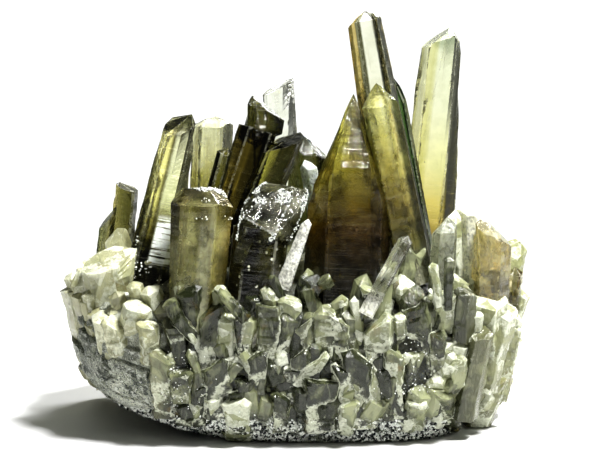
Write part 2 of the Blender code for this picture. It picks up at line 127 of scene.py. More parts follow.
# %% Sockets that can be added and multiplied
class Wire:
    """An output socket that adds a Math node when it is used in a sum."""

    def __init__(self, paint, socket):
        self.paint = paint
        self.socket = socket

    def math(self, operation, *others):
        """The Math node's operation on this socket and the others."""
        inputs = {0: self, **dict(enumerate(others, 1))}
        return self.paint.node("ShaderNodeMath", {"operation": operation}, inputs)

    def __add__(self, other):
        return self.math("ADD", other)

    def __sub__(self, other):
        return self.math("SUBTRACT", other)

    def __rsub__(self, other):
        return self.math("MULTIPLY_ADD", -1.0, other)

    def __mul__(self, other):
        return self.math("MULTIPLY", other)

    __radd__ = __add__
    __rmul__ = __mul__

    def ramp(self, low, high):
        """0 below low, 1 above high and a smooth rise between."""
        return self.paint.node("ShaderNodeMapRange", {"interpolation_type": "SMOOTHSTEP"},
                               {"Value": self, "From Min": low, "From Max": high}, "Result")


# %% A tree of nodes, and the finishes' own short calls
WHITE = (1.0, 1.0, 1.0)
QUARTZ_IOR = 1.544


def percent(values):
    """Numbers in percent as shares of one."""
    return tuple(value / 100.0 for value in values)


class Nodes:
    """A node tree whose nodes are added one call at a time."""

    def __init__(self, tree):
        self.tree = tree

    def node(self, kind, settings=None, inputs=None, output=0):
        """Add a node of a kind, set its settings and then its sockets' values or links."""
        made = self.tree.nodes.new(kind)
        for key, value in (settings or {}).items():
            if key == "stops":
                self.set_stops(made.color_ramp, value)
            else:
                setattr(made, key, value)
        for key, value in (inputs or {}).items():
            socket = made.inputs[key]
            if isinstance(value, Wire):
                self.tree.links.new(value.socket, socket)
            else:
                socket.default_value = value
        return Wire(self, made.outputs[output])

    @staticmethod
    def set_stops(ramp, stops):
        """Give a colour ramp its stops: place, red, green and blue, in percent."""
        while len(ramp.elements) < len(stops):
            ramp.elements.new(0.5)
        for element, (place, *colour) in zip(ramp.elements, stops):
            element.position = place / 100.0
            element.color = (*percent(colour), 1.0)

    def axis(self, place, letter):
        """One coordinate of a place."""
        return self.node("ShaderNodeSeparateXYZ", {}, {0: place}, letter)

    def blend(self, mask, first, second, how="MIX"):
        """A colour between first, where the mask is 0, and second, where it is 1."""
        first, second = (value if isinstance(value, Wire) else (*value, 1.0) for value in (first, second))
        return self.node("ShaderNodeMix", {"data_type": "RGBA", "blend_type": how},
                         {0: mask, 6: first, 7: second}, 2)

    def painted(self, base, *layers):
        """A colour with layers over it, each a mask and a colour, the last on top."""
        for mask, colour in layers:
            base = self.blend(mask, base, colour)
        return base


class Paint(Nodes):
    """A material, with short calls for what every finish here uses."""

    def __init__(self, name):
        self.material = bpy.data.materials.new(name)
        self.material.use_nodes = True
        super().__init__(self.material.node_tree)
        self.tree.nodes.clear()
        self.out = self.tree.nodes.new("ShaderNodeOutputMaterial")

    def attributes(self, *names):
        """Numbers that the piece's mesh carries at its points."""
        return [self.node("ShaderNodeAttribute", {"attribute_name": name}, output="Fac") for name in names]

    def place(self, turn=(0.0, 0.0, 0.0), centre=(0.0, 0.0, 0.0), stretch=(1.0, 1.0, 1.0)):
        """Object coordinates, moved so centre is at zero, then turned and after that stretched."""
        coords = self.node("ShaderNodeTexCoord", output="Object")
        shifted = self.node("ShaderNodeVectorMath", {"operation": "SUBTRACT"}, {0: coords, 1: centre})
        turned = self.node("ShaderNodeMapping", {}, {"Vector": shifted, "Rotation": turn})
        return self.stretched(turned, stretch)

    def stretched(self, place, stretch):
        """The same place with each axis stretched."""
        return self.node("ShaderNodeMapping", {}, {"Vector": place, "Scale": stretch})

    def noise(self, place, scale=1.0, detail=3.0, roughness=0.55, distortion=0.0):
        """Cloudy noise; scale is in features per metre."""
        inputs = {"Vector": place, "Scale": scale, "Detail": detail, "Roughness": roughness}
        return self.node("ShaderNodeTexNoise", {}, {**inputs, "Distortion": distortion}, "Fac")

    def cells(self, place, scale, output):
        """A number or a colour for each little cell of broken ground."""
        return self.node("ShaderNodeTexVoronoi", {}, {"Vector": place, "Scale": scale}, output)

    def bump(self, height, strength, distance):
        """A normal that tilts with the height."""
        return self.node("ShaderNodeBump", {}, {"Height": height, "Strength": strength, "Distance": distance})

    def shader(self, colour, roughness, **sockets):
        """The Principled shader; a socket's name is written with _ for each space."""
        inputs = {key.replace("_", " "): value for key, value in sockets.items()}
        inputs |= {"Base Color": colour, "Roughness": roughness}
        return self.node("ShaderNodeBsdfPrincipled", {}, inputs)

    def scattering(self, colour, roughness, normal, weight, reach=(0.003, 0.003, 0.0025)):
        """Quartz full of bubbles, in which light scatters over its reach, in metres."""
        return self.shader(colour, roughness, Normal=normal, IOR=QUARTZ_IOR, Subsurface_Weight=weight,
                           Subsurface_Radius=reach, Subsurface_Scale=1.0)

    def surface(self, shader):
        """Give the material its surface."""
        self.tree.links.new(shader.socket, self.out.inputs["Surface"])

    def volume(self, colour, density):
        """Light that crosses the piece takes on colour; density is per metre."""
        inside = self.node("ShaderNodeVolumeAbsorption", {}, {"Color": (*colour, 1.0), "Density": density})
        self.tree.links.new(inside.socket, self.out.inputs["Volume"])


# %% Surroundings: white behind and above, darker towards the camera
FRONT_SHADE, LEFT_SHADE, RIGHT_SHADE, HIGH_SHADE = 0.94, 0.95, 0.5, 0.75
world = bpy.data.worlds.new("studio")
scene.world = world
world.use_nodes = True
studio = Nodes(world.node_tree)
heading = studio.node("ShaderNodeTexCoord", output="Generated")
sideways, depth, height = (studio.axis(heading, letter) for letter in "XYZ")
front_shade = FRONT_SHADE * ((1.0 - depth.ramp(-0.7, 0.6)) * (1.0 - height.ramp(0.45, 0.8)))
left_shade = LEFT_SHADE * sideways.ramp(0.1, -0.7) * (1.0 - height.ramp(0.85, 1.0))
strength = ((1.0 - front_shade) * (1.0 - left_shade) * (1.0 - RIGHT_SHADE * sideways.ramp(0.45, 0.9))
            * (1.0 - HIGH_SHADE * height.ramp(0.30, 0.75)))
seen = studio.node("ShaderNodeLightPath", output="Is Camera Ray")
backdrop = world.node_tree.nodes["Background"]
tint = studio.blend(seen, (0.97, 1.0, 0.88), WHITE)
world.node_tree.links.new(tint.socket, backdrop.inputs["Color"])
world.node_tree.links.new(strength.math("MAXIMUM", seen).socket, backdrop.inputs["Strength"])
print("surroundings:", len(world.node_tree.nodes), "nodes")


# %% [markdown]
# The floor is plain and pale. It fades out a hand's breadth from the cluster, so that it
# runs into the white behind it without a horizon.

# %% Floor
FLOOR_HALF = 0.32
FLOOR_DROP = 0.0001      # keeps it from touching the cluster's flat underside
FLOOR_FADE = (0.13, 0.30)
corners = [(x * FLOOR_HALF, y * FLOOR_HALF, 0.0) for x, y in ((-1, -1), (1, -1), (1, 1), (-1, 1))]
floor_mesh = bpy.data.meshes.new("floor")
floor_mesh.from_pydata(corners, [], [(0, 1, 2, 3)])
floor = bpy.data.objects.new("floor", floor_mesh)
floor.location.z = -FLOOR_DROP
scene.collection.objects.link(floor)
paint = Paint("pale_floor")
distance = paint.node("ShaderNodeVectorMath", {"operation": "LENGTH"}, {0: paint.place()}, "Value")
paint.surface(paint.shader((0.72, 0.72, 0.72, 1.0), 0.55 + 0.1 * paint.noise(paint.place(), 8.0),
                           Alpha=1.0 - distance.ramp(*FLOOR_FADE)))
floor_mesh.materials.append(paint.material)
print("floor:", 2.0 * FLOOR_HALF, "m wide")


# %% [markdown]
# ## A crystal from its planes
#
# A quartz crystal is a six-sided prism with a six-sided point, and wear or a knock cuts more
# planes off it. A point inside the crystal is on the inner side of every plane. So the distance
# from the axis to the surface, in any direction, is the smallest of the distances to the planes.
#
# The surface is laid out as a grid: columns run up the crystal, two of them close together on
# each edge so the edge gets a narrow bevel, and rows run round it. The rows follow the rim where
# the prism ends, so the edges of the head stay crisp too.

# %% The planes of a crystal
SIDES = 6
FACE_REACH = 0.44        # distance of a face from the axis, as a share of the width
UNEVENNESS = 0.07
MINOR_FACE_STEP = 0.6    # how much further out every second face of the head stands
TOP_FACING = 0.4         # a plane that faces up more than this belongs to the head
NEARLY_PARALLEL = 1e-5
ON_A_PLANE = 1e-6        # in millimetres
SAME_HEIGHT = 1e-4


def crystal(foot, tip, width, depth, taper=1.0, turn=0.0, head=1.2, shift=(0.0, 0.0), breaks=(), root=8.0):
    """Name the measures of a crystal, in millimetres and degrees.

    taper is the tip's width for a foot of 1, head the slope of its point, 0 for none, shift the
    place of its apex off the axis, breaks the planes that cut it, each a point and an outward
    direction, and root how far it goes on below its foot.
    """
    return dict(foot=foot, tip=tip, width=width, depth=depth, taper=taper, turn=turn, head=head,
                shift=shift, breaks=breaks, root=root)


def unit(direction):
    """The same direction with a length of 1."""
    return np.array(direction, float) / np.linalg.norm(direction)


def axes_of(form):
    """Foot and tip, and the unit vectors along the crystal, across it and into its depth."""
    foot, tip = np.array(form["foot"], float), np.array(form["tip"], float)
    along = unit(tip - foot)
    across = unit(np.array([1.0, 0.0, 0.0]) - along * along[0])
    return foot, tip, along, across, np.cross(along, across)


def planes_of(form):
    """Points on the planes that bound a crystal, and the planes' outward normals.

    A prism face stands at its reach from the axis and leans in with the taper. A head face
    passes through the apex and rises by head for each unit inwards.
    """
    foot, tip, along, across, inward = axes_of(form)
    apex = tip + across * form["shift"][0] + inward * form["shift"][1]
    narrowing = (1.0 - form["taper"]) / np.linalg.norm(tip - foot)
    planes = [(tip, along)]
    for side in range(SIDES):
        angle = math.radians(form["turn"] - 90.0 + 60.0 * side)
        radial = across * math.cos(angle) + inward * math.sin(angle)
        uneven = 1.0 + UNEVENNESS * math.sin(2.3 * side + form["foot"][0])
        breadth = math.hypot(form["width"] * math.cos(angle), form["depth"] * math.sin(angle))
        reach = FACE_REACH * uneven * breadth
        planes.append((foot + radial * reach, unit(radial + along * (reach * narrowing))))
        if form["head"] > 0.0:
            normal = unit(radial * form["head"] + along)
            planes.append((apex + normal * MINOR_FACE_STEP * (side % 2), normal))
    planes += [(np.array(point, float), unit(direction)) for point, direction in form["breaks"]]
    points, normals = zip(*planes)
    return np.array(points), np.array(normals)


def highest_point(points, normals, along):
    """The corner furthest along, out of those where three planes meet and no other cuts them off."""
    sets = np.array(list(itertools.combinations(range(len(points)), 3)))
    matrices = normals[sets]
    offsets = np.einsum("kij,kij->ki", points[sets], matrices)
    sound = np.abs(np.linalg.det(matrices)) > NEARLY_PARALLEL
    corners = np.linalg.solve(matrices[sound], offsets[sound][:, :, None])[:, :, 0]
    slack = np.einsum("ckj,kj->ck", points[None] - corners[:, None], normals)
    corners = corners[slack.min(axis=1) > -ON_A_PLANE]
    heights = corners @ along
    return corners[heights > heights.max() - SAME_HEIGHT].mean(axis=0)


plain = crystal((0.0, 0.0, 0.0), (0.0, 0.0, 40.0), 12.0, 10.0)
print(len(planes_of(plain)[0]), "planes bound a plain crystal")


# %% [markdown]
# The next cell walks the grid. `reach` answers how far the surface is from the spine, and `lift`
# how much room is left under the head's planes. Halving the step again and again finds the rim,
# for all the columns at once. Growth leaves shallow steps across the prism faces, so each face
# moves in and out a few hundredths of a millimetre as it rises.

# %% The surface of a crystal
FINE_TURN = 1440         # directions that are tried to find the prism's edges
HALVINGS = 40
FADE_HEIGHT = 1.5        # the steps of growth die out this far below the rim


def crystal_grid(form, rows=40, face_columns=4, head_rows=7, bevel=0.22, relief=0.03, pinch=0.0, seed=0):
    """Points of a crystal in rows from foot to apex, with each one's edge, rise and side.

    A side point is spine(h) + direction(u) * smallest distance to a side plane. A head point is
    carried in from the rim to the apex in a straight line and lifted to the lowest head plane.
    pinch is the height over which the foot rounds in, as a small crystal's does in the mass.
    """
    chance = np.random.default_rng(seed)
    foot, _, along, across, inward = axes_of(form)
    points, normals = planes_of(form)
    upward = normals @ along
    top = upward > TOP_FACING
    summit = highest_point(points, normals, along)
    low = -form["root"]
    high = (summit - foot) @ along
    drift = (summit - foot) - along * high

    def spine(h):
        return foot + along * h[..., None] + drift * ((h - low) / (high - low))[..., None]

    def directions(u):
        return across * np.cos(u)[..., None] + inward * np.sin(u)[..., None]

    def room(place, planes):
        return np.einsum("...kj,kj->...k", points[planes] - place[..., None, :], normals[planes])

    def reach(u, h):
        aim = directions(u) @ normals[~top].T
        distance = np.where(aim > 1e-6, room(spine(h), ~top) / np.maximum(aim, 1e-6), 1e9)
        return np.maximum(distance.min(axis=-1), 0.0), distance.argmin(axis=-1)

    def lift(place):
        return (room(place, top) / upward[top]).min(axis=-1)

    fine = np.linspace(0.0, 2.0 * np.pi, FINE_TURN, endpoint=False)
    _, face = reach(fine, np.full_like(fine, low + 0.45 * (high - low)))
    corner = fine[face != np.roll(face, 1)]
    spread = bevel / max(0.5 * form["width"], 1.0)
    after = np.roll(corner, -1) + np.where(np.roll(corner, -1) <= corner, 2.0 * np.pi, 0.0)
    share = 0.5 - 0.5 * np.cos(np.pi * np.linspace(0.0, 1.0, face_columns + 1))
    u = ((corner + spread)[:, None] + (after - corner - 2.0 * spread)[:, None] * share[None]).ravel()
    at_corner = np.tile(np.arange(face_columns + 1) % face_columns == 0, len(corner))
    face_number = np.repeat(np.arange(len(corner)), face_columns + 1)

    rim, above = np.full_like(u, low), np.full_like(u, high)
    for _ in range(HALVINGS):
        middle = (rim + above) / 2.0
        inside = lift(spine(middle) + directions(u) * reach(u, middle)[0][:, None]) > 0.0
        rim, above = np.where(inside, middle, rim), np.where(inside, above, middle)

    h = low + (rim - low)[None] * np.linspace(0.0, 1.0, rows)[:, None]
    uu = np.broadcast_to(u, h.shape)
    distance, _ = reach(uu, h)
    waves = chance.uniform(0.5, 3.2, (len(corner), 6))
    phases = chance.uniform(0.0, 6.3, (len(corner), 6))
    swell = np.sin(h[..., None] * waves[face_number][None] + phases[face_number][None]).mean(axis=-1)
    fade = np.clip((rim[None] - h) / FADE_HEIGHT, 0.0, 1.0)
    distance = np.maximum(distance + relief * 3.0 * (swell - 0.4) * fade * (distance > 0.3), 0.0)
    if pinch:
        distance = distance * np.sqrt(np.clip((h - low) / pinch + 0.1, 0.0, 1.0))
    sides = spine(h) + directions(uu) * distance[..., None]

    share = np.linspace(0.0, 1.0, head_rows + 1)[1:-1][:, None, None]
    flat_rim = sides[-1] - along * ((sides[-1] - foot) @ along)[:, None]
    flat_top = summit - along * ((summit - foot) @ along)
    carried = flat_rim[None] * (1.0 - share) + flat_top * share + along * high
    grid = np.concatenate([sides, carried + along * lift(carried)[..., None]])
    edge = np.zeros(grid.shape[:2])
    edge[:, at_corner] = 1.0 if face_columns > 1 else 0.25
    edge[rows - 1] = 1.0 if face_columns > 1 else 0.5
    rise = np.clip(((grid - foot) @ along) / high, -1.0, 1.0)
    offset = (grid - spine((grid - foot) @ along)) @ across
    widest = np.abs(offset).max(axis=1, keepdims=True)
    return grid, summit, foot + along * low, edge, rise, offset / np.maximum(widest, 1e-3)


print("rows, columns and coordinates of the plain crystal:", crystal_grid(plain)[0].shape)


# %% From a grid to a piece
def closed_shell(grid, summit, base):
    """Points and faces of a grid whose columns go round, closed by a fan at its base and its top."""
    count, columns = grid.shape[:2]
    points = np.concatenate([grid.reshape(-1, 3), [base, summit]])
    first = np.arange(columns)
    after = (first + 1) % columns
    row = np.arange(count - 1)[:, None] * columns
    quads = np.stack([row + first, row + after, row + columns + after, row + columns + first], -1)
    last = (count - 1) * columns
    bottom = np.stack([after, first, np.full(columns, count * columns)], -1)
    crown = np.stack([last + first, last + after, np.full(columns, count * columns + 1)], -1)
    return points, quads.reshape(-1, 4).tolist() + bottom.tolist() + crown.tolist()


def add_piece(name, shells, paint, numbers, node, slot, smooth=False):
    """Join shells into one object at the origin, with its numbers at its points."""
    points = np.concatenate([shell[0] for shell in shells])
    starts = np.cumsum([0] + [len(shell[0]) for shell in shells])
    faces = [[start + corner for corner in face] for start, shell in zip(starts, shells) for face in shell[1]]
    mesh = bpy.data.meshes.new(name)
    mesh.from_pydata(((points - MIDDLE) * MM).tolist(), [], faces)
    for key, values in numbers.items():
        mesh.attributes.new(key, "FLOAT", "POINT").data.foreach_set("value", np.asarray(values, np.float32))
    mesh.polygons.foreach_set("use_smooth", np.full(len(mesh.polygons), smooth))
    mesh.materials.append(paint.material)
    made = bpy.data.objects.new(name, mesh)
    scene.collection.objects.link(made)
    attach(made, "root")
    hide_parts(node)
    print(f"{name}: {len(shells)} shells, {sum(len(face) - 2 for face in faces)} triangles")


def crystal_shell(form, **detail):
    """A crystal as a closed shell and the numbers its material reads."""
    grid, summit, base, edge, rise, side = crystal_grid(form, **detail)
    numbers = {"edge": np.append(edge.ravel(), [0.0, 1.0]), "rise": np.append(rise.ravel(), [-1.0, 1.0]),
               "side": np.append(side.ravel(), [0.0, 0.0])}
    return closed_shell(grid, summit, base), numbers


# %% [markdown]
# ## The finish of smoky quartz
#
# Smoky quartz is as clear as glass, and its colour is in its depth: the longer the way through,
# the darker it looks. So most of the brown is an absorption inside the piece. Over it, light
# and shade are painted on the surface: the flanks that mirror the dark room are painted dark,
# the strips that look through to the white are left light, some heads carry painted shade, and
# one silvery patch is a painted reflection. The faces carry fine growth lines across the axis and
# dark streaks along it, partly veils and partly painted inner reflections, a worn edge is paler,
# and the crystal turns milky towards its root, where it grew out of the white mass.

# %% Smoky quartz
BUMP_HEIGHT = 0.0004
WARM = (1.0, 0.95, 0.7)
DULL = (0.84, 0.84, 0.78)
REFLECTION_SILVER = (0.80, 0.84, 0.80)


def turn_of(form):
    """The turn that stands a crystal's own axis upright, and its foot in metres."""
    foot, _, along, across, inward = axes_of(form)
    upright = Matrix((Vector(across), Vector(inward), Vector(along)))
    return tuple(upright.to_euler()), tuple(Vector((foot - MIDDLE) * MM))


def smoky_quartz(name, form, tint, density, tint_and_shade_across=None, heights=None, milk=(55, 55, 42), milk_top=0.2,
                 milk_soft=0.25, cloud=0.0, lines=0.3, frost=0.02, veil_and_reflection=(30, 26, 10), streak=0.3,
                 specks=0.0, whitened=0.15, hazy=None, painted_reflection=None):
    """Clear quartz with depth colour, growth lines, streaks, a milky root, clouds, painted light and shade.

    Colours are in percent. tint_and_shade_across are the stops from the left edge to the right as
    the camera sees the crystal: painted shade on the flanks that mirror the dark room, painted
    light where a face looks through to the white, and some of the crystal's own tint. heights are
    the stops from foot to tip: the crystal's own colour zoning, with painted shade on some heads.
    Each stop has its place first. milk_top is the share of its height where the milk has gone,
    cloud the share of the body that stays cloudy, lines the depth of the growth lines, frost the
    least roughness, streak the share of dark streaks along the axis, partly veils and partly
    painted inner reflections, specks that of white specks, and whitened how white a worn edge is.
    hazy is the colour that a cloud gives to the body's own, and painted_reflection a silvery patch
    painted as a reflection: its place across, its reach, and the shares of the height where it
    starts and ends.
    height where it starts and ends.
    """
    paint = Paint(name)
    upright = paint.place(*turn_of(form))
    rise, edge, side = paint.attributes("rise", "edge", "side")
    lump = paint.noise(upright, 260.0, 4.0)
    fine = paint.noise(upright, 1500.0, 3.0)
    growth = paint.noise(paint.stretched(upright, (60.0, 60.0, 1900.0)), 1.0, 3.0, 0.7)
    steps = paint.noise(paint.stretched(upright, (40.0, 40.0, 420.0)), 1.0, 2.0, 0.5)
    veils_and_reflections = paint.noise(paint.stretched(upright, (420.0, 420.0, 34.0)), 1.0, 4.0, 0.6, distortion=0.5)

    normal = paint.bump(growth * 0.6 + steps * 1.4 + fine * 0.15 + lump * 1.5, lines, BUMP_HEIGHT)
    worn = edge.ramp(0.7, 1.0) * (lump + 0.4 * (fine - 0.5)).ramp(0.3, 0.6)
    roughness = frost + 0.16 * lump.ramp(0.5, 0.75) + 0.3 * worn
    body = paint.blend(lump.ramp(0.35, 0.7), WHITE, DULL)
    # Painted light and shade: the stops across darken the flanks that mirror the dark room and stay light
    # where a face looks through to the white; the stops up carry the colour zoning and painted shade on some
    # heads.
    places = 0.5 + 0.5 * side + 0.07 * (veils_and_reflections - 0.5), rise + 0.16 * (lump - 0.5)
    for stops, place in zip((tint_and_shade_across, heights), places):
        if stops:
            tint_and_shade = paint.node("ShaderNodeValToRGB", {"stops": stops}, {0: place})
            body = paint.blend(1.0, body, tint_and_shade, "MULTIPLY")
    # Dark streaks along the axis, partly veils and partly painted inner reflections, then warm growth lines.
    body = paint.painted(body, (veils_and_reflections.ramp(0.65 - 0.3 * streak, 0.85 - 0.3 * streak) * 0.85, percent(veil_and_reflection)),
                         (growth.ramp(0.55, 0.75) * 0.25, WARM))
    glass = paint.shader(body, roughness, Normal=normal, IOR=QUARTZ_IOR, Transmission_Weight=1.0)

    root = 1.0 - (rise + 0.45 * (lump - 0.5)).ramp(milk_top - milk_soft, milk_top + milk_soft)
    haze = lump.ramp(1.0 - cloud - 0.25, 1.0 - cloud + 0.25) * cloud
    milk = np.array(percent(milk))
    white = paint.blend((fine * 0.6 + lump * 0.4).ramp(0.38, 0.58), 0.5 * milk, np.minimum(1.0, 1.4 * milk))
    if hazy:
        white = paint.blend(root, paint.blend(1.0, body, percent(hazy), "MULTIPLY"), white)
    # A painted reflection: a silvery patch with growth lines, where a face mirrors the bright room.
    if painted_reflection:
        centre, reach, low, high = painted_reflection
        across = 1.0 - (side - centre).math("ABSOLUTE").ramp(0.8 * reach, reach)
        reflection_patch = (across * rise.ramp(low, low + 0.04) * (1.0 - rise.ramp(high - 0.04, high))
                 * (growth + 0.5 * (lump - 0.5)).ramp(0.38, 0.52))
        white = paint.blend(reflection_patch, white, REFLECTION_SILVER)
        haze = haze.math("MAXIMUM", reflection_patch)
    milky = paint.scattering(white, 0.35 + 0.3 * fine, paint.bump(fine + lump, 0.6, BUMP_HEIGHT), 0.4,
                             (0.004, 0.004, 0.003))
    mask = (root * (0.5 + 0.5 * lump.ramp(0.35, 0.6))).math("MAXIMUM", haze).math("MAXIMUM", worn * whitened)
    if specks:
        dots = 1.0 - paint.cells(upright, 420.0, "Distance").ramp(0.10, 0.2)
        patches = paint.noise(upright, 190.0, 2.0).ramp(0.7 - 0.3 * specks, 0.75 - 0.3 * specks)
        mask = mask.math("MAXIMUM", dots * patches)
    paint.surface(paint.node("ShaderNodeMixShader", {}, {0: mask, 1: glass, 2: milky}))
    paint.volume(percent(tint), density)
    return paint


# %% [markdown]
# ## The large crystals
#
# Each large crystal is a piece of its own, with its own depth of colour: the left one is honey,
# the broken ones behind it are nearly black, the big one in front is brown, and the tall pair on
# the right are almost clear. Their measures repeat those of the solid model, but for a few that
# were changed by up to three millimetres once they were seen in this light. The feet of two
# more, at the front on the right, lean four and six millimetres further back into the mass.

# %% Measures of the large crystals
# A row holds the piece's node, its measures in millimetres, and its finish. Colours are in
# percent, and so are the stops of tint_and_shade_across, which paint light and shade across each
# crystal, and of heights: place, red, green and blue.
BROWN = (50, 41, 6)
OLIVE = (56, 52, 12)
GREY = (62, 64, 42)

